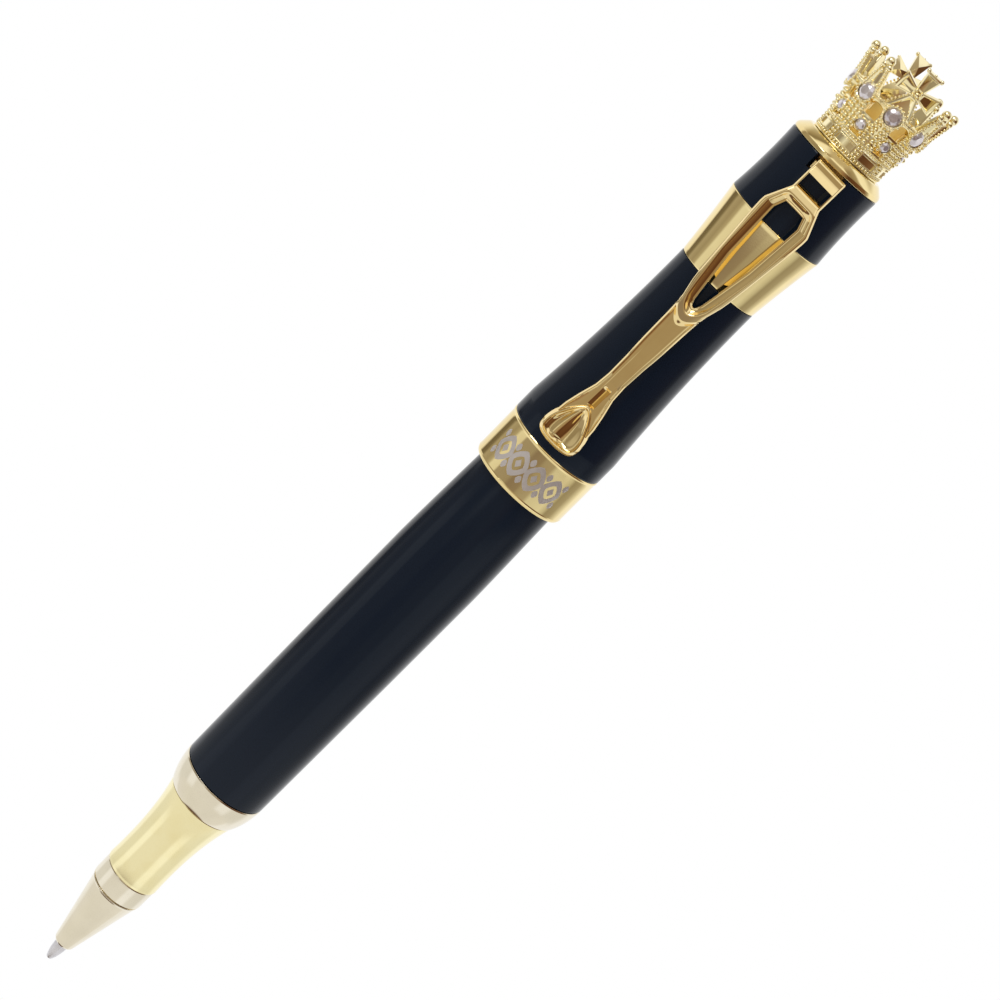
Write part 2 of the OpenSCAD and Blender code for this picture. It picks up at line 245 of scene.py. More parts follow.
def shell(name, outer, inner, material, solid=lambda i, j: True, wrap=False, angle=32):
    """A closed plate between two grids of points, with holes where solid(row, column) is false."""
    rows, columns = len(outer), len(outer[0])
    spans = columns if wrap else columns - 1
    points, faces, seen = [], [], {}

    def at(side, i, j):
        key = (side, i, j % columns)
        if key not in seen:
            seen[key] = len(points)
            points.append((outer, inner)[side][i][j % columns])
        return seen[key]

    def filled(i, j):
        if wrap:
            j %= columns
        return 0 <= i < rows - 1 and 0 <= j < spans and solid(i, j)

    for i in range(rows - 1):
        for j in range(spans):
            if not filled(i, j):
                continue
            corners = [(i, j), (i, j + 1), (i + 1, j + 1), (i + 1, j)]
            faces.append([at(0, *c) for c in corners])
            faces.append([at(1, *c) for c in reversed(corners)])
            beside = [(i - 1, j), (i, j + 1), (i + 1, j), (i, j - 1)]
            for k, cell in enumerate(beside):
                if not filled(*cell):
                    a, b = corners[k], corners[(k + 1) % 4]
                    faces.append([at(0, *b), at(0, *a), at(1, *a), at(1, *b)])
    return mesh_object(name, points, faces, material, angle)


def joined(name, parts, angle=32):
    """One object out of several with the same material."""
    work = bmesh.new()
    for part in parts:
        work.from_mesh(part.data)
    mesh = bpy.data.meshes.new(name)
    work.to_mesh(mesh)
    work.free()
    mesh.materials.append(parts[0].data.materials[0])
    for part in parts:
        bpy.data.objects.remove(part)
    sharpen(mesh, angle)
    return linked(name, mesh)


def piece(made, body, slot, *nodes):
    """Hangs a finished object on the empty of the body that it rides on and hides the CAD nodes that it stands for;
    the slot is not used.
    """
    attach(made, body)
    if nodes:
        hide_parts(*nodes)
    return made


# ---------------------------------------------------------------- node trees

def plug(tree, socket, value):
    """Links a node's output to a socket, or sets the socket to a plain value; a colour may leave out its alpha."""
    if isinstance(value, bpy.types.NodeSocket):
        tree.links.new(value, socket)
    elif socket.type == "RGBA":
        socket.default_value = (*value[:3], 1)
    else:
        socket.default_value = value


def node(tree, kind, **inputs):
    """A new node; each input is named with _ for a space, and is a value or another node's output."""
    made = tree.nodes.new(kind)
    for label, value in inputs.items():
        plug(tree, made.inputs[label.replace("_", " ")], value)
    return made


def math_node(tree, operation, *values, clamp=False):
    """The result of one sum, whose terms are values or other nodes' outputs."""
    made = tree.nodes.new("ShaderNodeMath")
    made.operation = operation
    made.use_clamp = clamp
    for socket, value in zip(made.inputs, values):
        plug(tree, socket, value)
    return made.outputs[0]


def colour_mix(tree, factor, a, b):
    """Colour a where the factor is 0, and b where it is 1."""
    made = tree.nodes.new("ShaderNodeMix")
    made.data_type = "RGBA"
    for label, value in (("Factor", factor), ("A", a), ("B", b)):
        plug(tree, made.inputs[label], value)
    return made.outputs["Result"]


def node_group(name, kind, inputs, outputs):
    """A new node group: its tree, the sockets that feed it and the sockets that it feeds."""
    tree = bpy.data.node_groups.new(name, kind)
    for label, socket, default in inputs:
        made = tree.interface.new_socket(label, in_out="INPUT", socket_type="NodeSocket" + socket)
        if default is not None:
            made.default_value = default
    for label, socket in outputs:
        tree.interface.new_socket(label, in_out="OUTPUT", socket_type="NodeSocket" + socket)
    return tree, tree.nodes.new("NodeGroupInput").outputs, tree.nodes.new("NodeGroupOutput").inputs


def finish_geometry(tree, given, result, geometry):
    """Makes instances real, gives them the group's material and passes them out."""
    real = node(tree, "GeometryNodeRealizeInstances", Geometry=geometry)
    paint = node(tree, "GeometryNodeSetMaterial", Geometry=real.outputs["Geometry"], Material=given["Material"])
    tree.links.new(paint.outputs["Geometry"], result["Geometry"])


def bead_tree():
    """Round beads on every point, as large as the point's bead_size."""
    tree, given, result = node_group("Beads", "GeometryNodeTree", [
        ("Geometry", "Geometry", None), ("Material", "Material", None), ("Detail", "Int", 2),
    ], [("Geometry", "Geometry")])
    ball = node(tree, "GeometryNodeMeshIcoSphere", Radius=1.0, Subdivisions=given["Detail"])
    size = tree.nodes.new("GeometryNodeInputNamedAttribute")
    size.data_type = "FLOAT"
    size.inputs["Name"].default_value = "bead_size"
    spread = node(tree, "GeometryNodeInstanceOnPoints", Points=given["Geometry"], Instance=ball.outputs["Mesh"],
                  Scale=size.outputs["Attribute"])
    finish_geometry(tree, given, result, spread.outputs["Instances"])
    return tree


def coil_tree():
    """A round wire or a thread's ridge, wound round the Z axis."""
    tree, given, result = node_group("Coil", "GeometryNodeTree", [
        ("Geometry", "Geometry", None), ("Turns", "Float", 5.0), ("Radius", "Float", 0.002),
        ("Height", "Float", 0.007), ("Wire", "Float", 0.0002), ("Steps", "Int", 32), ("Material", "Material", None),
        ("Base", "Vector", (0, 0, 0)), ("Sides", "Int", 10),
    ], [("Geometry", "Geometry")])
    spiral = node(tree, "GeometryNodeCurveSpiral", Rotations=given["Turns"], Start_Radius=given["Radius"],
                  End_Radius=given["Radius"], Height=given["Height"], Resolution=given["Steps"])
    ring = node(tree, "GeometryNodeCurvePrimitiveCircle", Radius=given["Wire"], Resolution=given["Sides"])
    sweep = node(tree, "GeometryNodeCurveToMesh", Fill_Caps=True, Curve=spiral.outputs["Curve"],
                 Profile_Curve=ring.outputs["Curve"])
    move = node(tree, "GeometryNodeTransform", Geometry=sweep.outputs["Mesh"], Translation=given["Base"])
    finish_geometry(tree, given, result, move.outputs["Geometry"])
    return tree


def grown(made, group, values, angle):
    """The object with a geometry node group run on it, its inputs set by name."""
    modifier = made.modifiers.new("grow", "NODES")
    modifier.node_group = group
    for item in group.interface.items_tree:
        if item.item_type == "SOCKET" and item.in_out == "INPUT" and item.name in values:
            modifier[item.identifier] = values[item.name]
    return baked(made, angle)


def beads(name, spots, material, detail=2):
    """One mesh of round beads; spots is a list of (point, radius) in millimetres."""
    mesh = bpy.data.meshes.new(name)
    mesh.from_pydata(place([p for p, _ in spots]), [], [])
    size = mesh.attributes.new("bead_size", "FLOAT", "POINT")
    size.data.foreach_set("value", [r * MM for _, r in spots])
    return grown(linked(name, mesh), BEADS, {"Material": material, "Detail": detail}, 180)


def coil(name, radius, z0, z1, turns, wire, material, sides=10, steps_per_turn=48):
    """A wound wire or thread between two heights."""
    return grown(linked(name, bpy.data.meshes.new(name)), COILS, {
        "Turns": float(turns), "Radius": radius * MM, "Height": (z1 - z0) * MM, "Wire": wire * MM,
        "Steps": steps_per_turn, "Material": material, "Base": (0, 0, (z0 - HOLD_Z) * MM), "Sides": sides,
    }, 60)


def threaded(made, *thread):
    """A turned part joined with the ridge of its thread."""
    return joined(made.name, [made, coil("thread", *thread)], 40)


# ---------------------------------------------------------------- materials

def handling_group():
    """Marks of handling: fine hairlines, soft smudges and a little grain, each from 0 to 1."""
    tree, given, result = node_group("Handling marks", "ShaderNodeTree", [
        ("Vector", "Vector", (0, 0, 0)), ("Scale", "Float", 1.0), ("Stretch", "Float", 1.0),
    ], [("Hairlines", "Float"), ("Smudge", "Float"), ("Grain", "Float")])
    scaled = tree.nodes.new("ShaderNodeVectorMath")
    scaled.operation = "SCALE"
    plug(tree, scaled.inputs[0], given["Vector"])
    plug(tree, scaled.inputs["Scale"], given["Scale"])
    split = node(tree, "ShaderNodeSeparateXYZ", Vector=scaled.outputs[0]).outputs
    flat = math_node(tree, "MULTIPLY", split["Z"], given["Stretch"])
    stretched = node(tree, "ShaderNodeCombineXYZ", X=split["X"], Y=split["Y"], Z=flat)

    def noise(vector, scale, detail, rough):
        made = node(tree, "ShaderNodeTexNoise", Vector=vector, Scale=scale, Detail=detail, Roughness=rough)
        return made.outputs["Fac"]

    def above(value, start, gain):
        """0 up to the start, then rising with the gain as far as 1."""
        return math_node(tree, "MULTIPLY", math_node(tree, "SUBTRACT", value, start), gain, clamp=True)

    plug(tree, result["Hairlines"], above(noise(stretched.outputs[0], 9000, 3, 0.7), 0.52, 5.0))
    plug(tree, result["Smudge"], above(noise(scaled.outputs[0], 260, 4, 0.55), 0.42, 3.0))
    plug(tree, result["Grain"], noise(scaled.outputs[0], 5200, 2, 0.6))
    return tree


def turning_group():
    """Fine rings left by turning, as a height from 0 to 1."""
    tree, given, result = node_group("Turning marks", "ShaderNodeTree", [
        ("Vector", "Vector", (0, 0, 0)), ("Pitch", "Float", 6000.0),
    ], [("Height", "Float")])
    wave = node(tree, "ShaderNodeTexWave", Vector=given["Vector"], Scale=given["Pitch"], Distortion=0.6, Detail=3)
    wave.wave_type = "BANDS"
    wave.bands_direction = "Z"
    plug(tree, result["Height"], wave.outputs["Fac"])
    return tree


class Paint:
    """A Principled material and the shortcuts that build its node tree."""

    def __init__(self, name, **constants):
        self.material = bpy.data.materials.new(name)
        self.material.use_nodes = True
        self.tree = self.material.node_tree
        self.tree.nodes.clear()
        self.shader = node(self.tree, "ShaderNodeBsdfPrincipled", **constants)
        node(self.tree, "ShaderNodeOutputMaterial", Surface=self.shader.outputs[0])
        self.where = self.tree.nodes.new("ShaderNodeTexCoord").outputs["Object"]

    def group(self, tree, **inputs):
        """The outputs of one of the groups above, laid over the object."""
        made = self.tree.nodes.new("ShaderNodeGroup")
        made.node_tree = tree
        for label, value in dict(inputs, Vector=self.where).items():
            plug(self.tree, made.inputs[label], value)
        return made.outputs

    def marks(self, scale, stretch):
        """Marks of handling, the smaller as the scale grows, and longer along the pen as the stretch falls."""
        return self.group(MARKS, Scale=scale, Stretch=stretch)

    def turning(self, pitch):
        """Rings of turning, the finer as the pitch grows."""
        return self.group(TURNING, Pitch=pitch)["Height"]

    def colour(self, factor, a, b):
        """The base colour goes from a to b as the factor runs from 0 to 1."""
        self.feed("Base Color", colour_mix(self.tree, factor, a, b))

    def rough(self, factor, low, high):
        """The roughness runs from low to high as the factor runs from 0 to 1."""
        made = node(self.tree, "ShaderNodeMapRange", Value=factor, To_Min=low, To_Max=high)
        self.feed("Roughness", made.outputs["Result"])

    def bump(self, height, depth):
        """Bumps as deep as depth, in millimetres."""
        self.feed("Normal", node(self.tree, "ShaderNodeBump", Height=height, Distance=depth * MM).outputs[0])

    def feed(self, label, socket):
        """Drives one of the shader's inputs."""
        self.tree.links.new(socket, self.shader.inputs[label])


def plated(name, colour, worn, rough, rough_worn, grain_depth=0.0006, scale=1.0):
    """Polished gold plate, duller and darker under hairlines and smears, with a trace of waviness."""
    paint = Paint(name, Metallic=1.0)
    marks = paint.marks(scale, 0.06)
    paint.colour(marks["Smudge"], colour, worn)
    total = math_node(paint.tree, "ADD", math_node(paint.tree, "MULTIPLY", marks["Smudge"], 0.7),
                      math_node(paint.tree, "MULTIPLY", marks["Hairlines"], 0.3), clamp=True)
    paint.rough(total, rough, rough_worn)
    paint.bump(marks["Grain"], grain_depth)
    return paint.material


def lacquer(name):
    """Black lacquer with a blue cast, faint orange peel and smears."""
    paint = Paint(name, Metallic=0.0, IOR=1.27)
    marks = paint.marks(1.0, 0.1)
    paint.colour(marks["Grain"], (0.004, 0.0075, 0.0150), (0.006, 0.0105, 0.0195))
    paint.rough(marks["Smudge"], 0.07, 0.13)
    paint.bump(marks["Grain"], 0.0008)
    return paint.material


def raw_brass(name):
    """Turned brass that has not been polished, with the rings of the tool."""
    paint = Paint(name, Metallic=1.0)
    marks = paint.marks(1.4, 1.0)
    rings = paint.turning(5200)
    paint.colour(marks["Smudge"], (0.80, 0.56, 0.24), (0.62, 0.42, 0.18))
    paint.rough(rings, 0.2, 0.38)
    paint.bump(rings, 0.004)
    return paint.material


def steel(name, colour, worn, low, high, pitch):
    """Fine turned or drawn metal, smooth between rings of the pitch given."""
    paint = Paint(name, Metallic=1.0)
    marks = paint.marks(1.0, 1.0)
    rings = paint.turning(pitch)
    paint.colour(marks["Smudge"], colour, worn)
    paint.rough(rings, low, high)
    paint.bump(rings, 0.002)
    return paint.material


def moulded(name, colour, worn, low, high, depth=0.003):
    """Moulded plastic or rubber, with a fine grain."""
    paint = Paint(name, Metallic=0.0)
    marks = paint.marks(1.2, 1.0)
    paint.colour(marks["Smudge"], colour, worn)
    paint.rough(marks["Grain"], low, high)
    paint.bump(marks["Grain"], depth)
    return paint.material


def fibre(name):
    """Pressed fibre, with strands along the pen."""
    paint = Paint(name, Metallic=0.0)
    marks = paint.marks(1.0, 0.03)
    paint.colour(marks["Hairlines"], (0.78, 0.76, 0.68), (0.10, 0.10, 0.16))
    paint.rough(marks["Grain"], 0.75, 0.95)
    paint.bump(marks["Hairlines"], 0.02)
    return paint.material


def crystal(name):
    """Cut glass stone with a silvered back, so it shows grey and white facets."""
    paint = Paint(name, Metallic=0.7, Transmission_Weight=0.2, IOR=1.75, Coat_Weight=1.0, Coat_Roughness=0.0)
    marks = paint.marks(2.2, 1.0)
    paint.colour(marks["Smudge"], (0.76, 0.72, 0.75), (0.52, 0.46, 0.50))
    paint.rough(marks["Grain"], 0.02, 0.07)
    return paint.material


BEADS, COILS = bead_tree(), coil_tree()
MARKS, TURNING = handling_group(), turning_group()

GOLD = plated("gold_plate", (0.93, 0.77, 0.40), (0.87, 0.70, 0.35), 0.03, 0.09)
CLIP_GOLD = plated("clip_gold_plate", (0.94, 0.76, 0.40), (0.88, 0.69, 0.35), 0.025, 0.07)
CROWN_GOLD = plated("crown_gold_plate", (0.985, 0.89, 0.58), (0.95, 0.82, 0.45), 0.035, 0.1, 0.002, 1.6)
# The crown's inner faces: rougher than its outside, and a deeper, brighter amber that is painted glow of light
# bouncing inside the crown.
CROWN_INSIDE_PAINTED_GLOW = plated("crown_inside_painted_glow", (1.0, 0.78, 0.32), (0.96, 0.68, 0.22), 0.34, 0.48, 0.004, 1.6)
# Gold plate for the nose, its ring and the collar: the same gold as the cap, made paler, and the paleness is painted
# reflection of the white surroundings.
PALE_GOLD_PAINTED_REFLECTION = plated("pale_plate_painted_reflection", (0.84, 0.78, 0.64), (0.79, 0.73, 0.59), 0.06, 0.13)
# Gold plate for the grip: the same gold as the cap, made paler, and the paleness is painted reflection of the white
# surroundings.
GRIP_GOLD_PAINTED_REFLECTION = plated("grip_plate_painted_reflection", (0.95, 0.865, 0.53), (0.92, 0.82, 0.47), 0.07, 0.15)
LACQUER = lacquer("black_lacquer")
BRASS = raw_brass("turned_brass")
POINT_STEEL = steel("point_steel", (0.76, 0.75, 0.79), (0.64, 0.63, 0.67), 0.2, 0.32, 9000)
WIRE_STEEL = steel("spring_wire", (0.60, 0.61, 0.63), (0.48, 0.49, 0.50), 0.18, 0.30, 16000)
CARBIDE = steel("ball_carbide", (0.40, 0.40, 0.42), (0.33, 0.33, 0.35), 0.08, 0.16, 20000)
ENGRAVED = steel("engraved_grey", (0.70, 0.66, 0.66), (0.60, 0.56, 0.56), 0.42, 0.6, 14000)
REFILL_BLACK = moulded("refill_fitting", (0.018, 0.018, 0.02), (0.03, 0.03, 0.032), 0.35, 0.5)
REFILL_GREY = moulded("refill_tube_plastic", (0.62, 0.63, 0.66), (0.54, 0.55, 0.58), 0.18, 0.3, 0.001)
PLUG_WHITE = moulded("refill_plug_plastic", (0.80, 0.80, 0.78), (0.70, 0.70, 0.67), 0.25, 0.4)
INK = moulded("ink", (0.004, 0.004, 0.012), (0.006, 0.006, 0.016), 0.02, 0.06, 0.0005)
RUBBER = moulded("seal_rubber", (0.012, 0.012, 0.012), (0.02, 0.02, 0.02), 0.55, 0.75)
CLUTCH = moulded("clutch_plastic", (0.035, 0.035, 0.04), (0.05, 0.05, 0.055), 0.4, 0.6)
LINER = moulded("liner_plastic", (0.025, 0.025, 0.03), (0.04, 0.04, 0.045), 0.2, 0.35)
FIBRE = fibre("feed_fibre")
CRYSTAL = crystal("cut_crystal")


# ---------------------------------------------------------------- refill

def make_refill():
    """The ball, the point, the refill that feeds them and the spring behind it."""
    ball = beads("writing_ball_ball", [((0, 0, 0.35), 0.35)], CARBIDE, 4)
    piece(ball, "ball", "ball_carbide", "writing_ball")

    point = lathe("refill_point_tip", [
        (0.34, 0.2), (0.40, 0.2), (0.46, 0.34), (0.64, 0.85), (0.80, 1.5), (0.91, 2.3), (0.95, 2.95), (0.95, 9.9),
        (0.9, 10), (0.5, 10), (0.5, 4.2), (0.2, 3.9), (0.2, 0.66), (0.31, 0.56), (0.37, 0.36),
    ], POINT_STEEL, 0.03, MIDDLE_ROUND)
    piece(point, "refill", "point_steel", "refill_point")

    nose = lathe("refill_nose_fitting", [
        (0.95, 6), (1.2, 6), (1.2, 8), (1.1, 8.2), (1.1, 8.8), (1.2, 9.0), (1.2, 15.6), (2.65, 15.6), (2.65, 20),
        (0.5, 20), (0.5, 10), (0.95, 10),
    ], REFILL_BLACK, 0.05, SMALL_ROUND)
    piece(nose, "refill", "refill_black", "refill_nose")

    feed = lathe("refill_feed_rod", [
        (0, 4), (0.4, 4), (0.5, 4.3), (0.5, 20), (1.6, 20), (1.6, 33.4), (1.1, 34), (0, 34),
    ], FIBRE, 0.05, SMALL_ROUND)
    piece(feed, "refill", "feed_fibre", "refill_feed")

    tube = lathe("refill_tube_body", [
        (1.2, 15), (2.75, 15), (3.0, 15.35), (3.0, 21), (2.93, 21.2), (2.93, 21.7), (3.0, 21.9), (3.0, 104.5),
        (2.94, 104.7), (2.94, 105.2), (3.0, 105.4), (3.0, 108), (2.65, 108), (2.65, 15.6), (1.2, 15.6),
    ], REFILL_GREY, 0.08, MIDDLE_ROUND)
    piece(tube, "refill", "refill_grey", "refill_tube")

    ink = lathe("refill_ink_fill", [
        (0.02, 34.02), (1.6, 34.02), (1.62, 20.02), (2.64, 20.02), (2.64, 97.7), (2.3, 98), (0.02, 97.6),
    ], INK, 0.05, SMALL_ROUND)
    piece(ink, "refill", "ink_black", "refill_ink")

    plug = lathe("refill_plug_stopper", [
        (0, 106), (2.5, 106), (2.65, 106.2), (2.65, 108), (3.0, 108), (3.0, 110.2), (2.8, 110.55), (1.2, 110.55),
        (1.0, 110.1), (0, 110.1),
    ], PLUG_WHITE, 0.08, SMALL_ROUND)
    piece(plug, "refill", "plug_white", "refill_plug")

    spring = coil("refill_spring_wire", 2.35, 110.82, 117.18, 6, 0.2, WIRE_STEEL, 12)
    piece(spring, "barrel", "spring_steel", "refill_spring")


# ---------------------------------------------------------------- front section

def make_section():
    """The nose, the grip with its thread and seal, and the collar that turns on with it."""
    cone = lathe("nose_cone_shell", [
        (1.0, 3.25), (1.08, 3.2), (1.30, 3.2), (1.46, 3.45), (3.58, 13.9), (3.68, 14.08), (3.67, 14.22),
        (3.45, 14.25), (3.45, 19), (3.15, 19), (3.15, 14.9), (1.3, 14.9), (1.3, 5.3), (1.0, 5.2),
    ], PALE_GOLD_PAINTED_REFLECTION, 0.05)
    piece(cone, "section", "champagne_gold", "nose_cone")

    ring = lathe("nose_ring_band", [
        (3.45, 14.4), (3.70, 14.4), (3.78, 14.5), (3.79, 17.26), (3.73, 17.38), (3.45, 17.38),
    ], PALE_GOLD_PAINTED_REFLECTION, 0.04)
    piece(ring, "section", "champagne_gold", "nose_ring")

    grip = lathe("grip_section_body", [
        (3.45, 17.4), (3.80, 17.4), *along(17.5, 31.4, 40, grip_curve), (4.95, 31.5), (4.6, 31.5), (4.6, 35.7),
        (4.22, 35.7), (4.22, 42.6), (4.45, 42.65), (4.45, 42.72), (3.66, 42.72), (3.66, 43.58), (4.45, 43.58),
        (4.45, 44.3), (4.15, 44.6), (3.15, 44.6), (3.15, 19), (3.45, 19),
    ], GRIP_GOLD_PAINTED_REFLECTION, 0.05)
    grip = threaded(grip, 4.22, 36.1, 42.3, 6.2, 0.22, GRIP_GOLD_PAINTED_REFLECTION, 8)
    piece(grip, "section", "grip_gold", "grip_section")

    seal = lathe("section_o_ring_seal", [
        (4.05 + 0.39 * math.cos(a), 43.15 + 0.39 * math.sin(a)) for a in steps(0, TAU, 20)[:-1]
    ], RUBBER, 0, SMALL_ROUND * 2, 180)
    piece(seal, "section", "seal_rubber", "section_o_ring")

    collar = lathe("section_collar_ring", [
        (4.66, 31.52), (4.96, 31.52), *along(31.58, 35.62, 24, collar_curve), (5.96, 35.78), (4.66, 35.78),
    ], PALE_GOLD_PAINTED_REFLECTION, 0.02)
    piece(collar, "collar", "champagne_gold", "section_collar")


# ---------------------------------------------------------------- barrel

def make_barrel():
    """The lacquered tube, the threaded bush in its mouth and the plug that closes its tail."""
    outline = [(5.2, 35.87), (5.90, 35.87), (6.02, 36.0)]
    outline += [(BARREL_FRONT_R + (BARREL_R - BARREL_FRONT_R) * (z - 36.2) / 23.8, z) for z in steps(36.2, 60, 8)]
    outline += [(BARREL_R, 67.5)] + along(BELLY_Z, 118.4, 40, tail_curve) + [(tail_curve(118.6) - 0.08, 118.58)]
    outline += [(3.35, 118.58), (3.35, 114), (4.7, 96), (4.7, 43), (5.2, 43)]
    tube = lathe("barrel_tube_lacquered", outline, LACQUER, 0.05)
    piece(tube, "barrel", "black_lacquer", "barrel_tube")

    bush = lathe("barrel_bush_sleeve", [
        (4.78, 36.4), (5.1, 36.4), (5.2, 36.55), (5.2, 43), (4.78, 43),
    ], BRASS, 0.04, MIDDLE_ROUND)
    bush = threaded(bush, 4.78, 36.75, 42.65, 5.9, 0.24, BRASS, 8)
    piece(bush, "barrel", "turned_brass", "barrel_bush")

    end = tail_curve(118.6)
    plug = lathe("barrel_plug_button", [
        (2.7, 114.6), (3.2, 114.6), (3.35, 114.8), (3.35, 118.62), (end - 0.1, 118.62), (end, 118.75),
        (end, 119.2), (end - 0.14, 119.6), (end - 0.5, 119.88), (end - 1.1, 119.98), (0, 120.0), (0, 117.4),
        (2.7, 117.4),
    ], GOLD, 0.06)
    piece(plug, "barrel", "polished_gold", "barrel_plug")


# ---------------------------------------------------------------- cap

INLAY_R, INLAY_DEPTH = 6.632, 0.05


def band_inlay(name, outline, hollow=0.0):
    """A thin engraved patch bent round the band, from an outline of (length round the band, height).

    The opening in its middle has the patch's own shape, and hollow is its share of the patch's width.
    """
    count = len(outline)
    x_mid, z_mid = sum(x for x, _ in outline) / count, sum(z for _, z in outline) / count
    loops = [outline, [(x_mid + (x - x_mid) * hollow, z_mid + (z - z_mid) * hollow) for x, z in outline]]
    points, faces = [], []
    for r in (INLAY_R, INLAY_R - INLAY_DEPTH):
        for loop in loops:
            points += [(r * math.sin(x / r), -r * math.cos(x / r), z) for x, z in loop]
    for k in range(count):
        n = (k + 1) % count
        faces.append([k, n, count + n, count + k])
        faces.append([2 * count + k, 3 * count + k, 3 * count + n, 2 * count + n])
        faces.append([k, 2 * count + k, 2 * count + n, n])
        if hollow:
            faces.append([count + k, count + n, 3 * count + n, 3 * count + k])
    return mesh_object(name, points, faces, ENGRAVED)


def make_band():
    """The gold band, with a row of linked diamonds engraved on its front."""
    band = lathe("cap_band_ring", [
        (6.15, 89.8), (6.48, 89.8), (6.53, 89.83), (6.64, 90.12), (6.65, 90.2), (6.62, 90.26), (6.62, 90.4),
        (6.62, 95.9), (6.62, 96.2), (6.64, 96.28), (6.68, 96.36), (6.67, 96.46), (6.60, 96.58), (6.35, 96.58),
        (6.35, 90.75), (6.15, 90.75),
    ], GOLD, 0.03)
    piece(band, "cap", "polished_gold", "cap_band")

    def lozenge(x, z, half_w, half_h, bulge=0.5):
        """A diamond with its sides curved in or out, as an outline of points."""
        corners = [(half_w, 0), (0, half_h), (-half_w, 0), (0, -half_h)]
        outline = []
        for (x0, z0), (x1, z1) in zip(corners, corners[1:] + corners[:1]):
            for t in (0, 0.25, 0.5, 0.75):
                reach = 1 + (bulge - 0.5) * math.sin(math.pi * t)
                outline.append((x + (x0 + (x1 - x0) * t) * reach, z + (z0 + (z1 - z0) * t) * reach))
        return outline

    middle, shift, pitch, parts = 93.2, -0.35, 2.62, []
    for k in range(4):
        x = shift + pitch * (k - 1.5)
        parts.append(band_inlay("link", lozenge(x, middle, 1.38, 1.9, 0.72), 0.56))
        parts.append(band_inlay("heart", lozenge(x, middle, 0.42, 0.62)))
    for k in range(5):
        x = shift + pitch * (k - 2)
        for side in (-1, 1):
            parts.append(band_inlay("bud", lozenge(x, middle + side * 1.35, 0.36, 0.55, 0.75)))
    ornament = joined("cap_band_ornament", parts, 60)
    piece(ornament, "cap", "point_steel")


def make_clutch():
    """The plastic ring in the cap's mouth, slit into fingers."""
    fingers, per = 12, 12
    columns = fingers * per
    rows, slit_rows, clearance = steps(90.9, 94.9, 8), 6, 0.035
    outer = [circle(6.3, z, columns) for z in rows]
    inner = [circle(tail_curve(z) + clearance, z, columns) for z in rows]
    ring = shell("clutch_ring_fingers", outer, inner, CLUTCH,
                 lambda i, j: not (i < slit_rows and j % per == 0), True)
    piece(ring, "clutch", "clutch_plastic", "clutch_ring")


def make_cap():
    """The cap from the band up to the threaded insert, with the cup inside it."""
    make_band()
    make_clutch()
    tube = lathe("cap_tube_lacquered", [
        (6.1, 95.05), (6.35, 95.05), (6.35, 96.6), (6.6, 96.62), *along(96.75, 123.55, 48, cap_curve),
        (5.55, 123.68), (CORE_R, 123.68), (CORE_R, 136), (CAP_BORE_R, 136), (CAP_BORE_R, 118),
        *[(max(CAP_BORE_R, cap_curve(z) - 0.62), z) for z in steps(115, 96.6, 16)],
    ], LACQUER, 0.04)
    piece(tube, "cap", "black_lacquer", "cap_tube")

    ring = lathe("cap_ring_cone", [
        (CORE_R, 123.72), (5.52, 123.72), (5.60, 123.8), *along(123.95, 132.8, 24, ring_curve), (6.73, 133.0),
        (6.66, 133.09), (CORE_R, 133.09),
    ], GOLD, 0.04)
    piece(ring, "cap", "polished_gold", "cap_ring")

    make_cap_top()

    liner = lathe("cap_liner_cup", [
        (4.2, 121.4), (4.35, 121), (4.9, 121), (4.98, 121.2), (4.98, 131.3), (4.7, 131.5), (0, 131.5), (0, 130),
        (3.9, 130), (4.2, 129.7),
    ], LINER, 0.08, MIDDLE_ROUND)
    piece(liner, "cap", "liner_plastic", "cap_liner")

    insert = lathe("cap_insert_block", [
        (1.78, 136), (5.25, 136), (5.35, 136.15), (5.35, 140.4), (1.78, 140.4),
    ], BRASS, 0.06, MIDDLE_ROUND)
    insert = threaded(insert, 1.78, 136.3, 140.1, 5.4, 0.2, BRASS, 8, 32)
    piece(insert, "cap", "turned_brass", "cap_insert")

    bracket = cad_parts["clip_bracket"]
    bracket.data.materials.clear()
    bracket.data.materials.append(BRASS)


def make_cap_top():
    """The top sleeve, with the slot that the clip's neck passes through."""
    columns, slot_half, slot_z = 180, 10, 140.7
    heights = [133.12, 133.2, *steps(133.35, slot_z, 14), *steps(141.1, 142.35, 4), 142.5, 142.58]
    edge = {133.12: -0.06, 142.58: -0.07, 142.5: -0.02}

    def ring(radius, z):
        return [(radius * math.sin(TAU * k / columns), -radius * math.cos(TAU * k / columns), z)
                for k in range(columns)]

    outer = [ring(top_curve(z) + edge.get(z, 0), z) for z in heights]
    inner = [ring(CORE_R, z) for z in heights]
    low_row = heights.index(slot_z)
    made = shell("cap_top_sleeve", outer, inner, LACQUER,
                 lambda i, j: not (i >= low_row and (j < slot_half or j >= columns - slot_half)), True)
    piece(made, "cap", "black_lacquer", "cap_top")


# ---------------------------------------------------------------- clip

# The clip is drawn upright and then set askew by an angle about a height on the pen's axis.
CLIP_SKEW, CLIP_PIVOT_Z = math.radians(1.3), 120.0
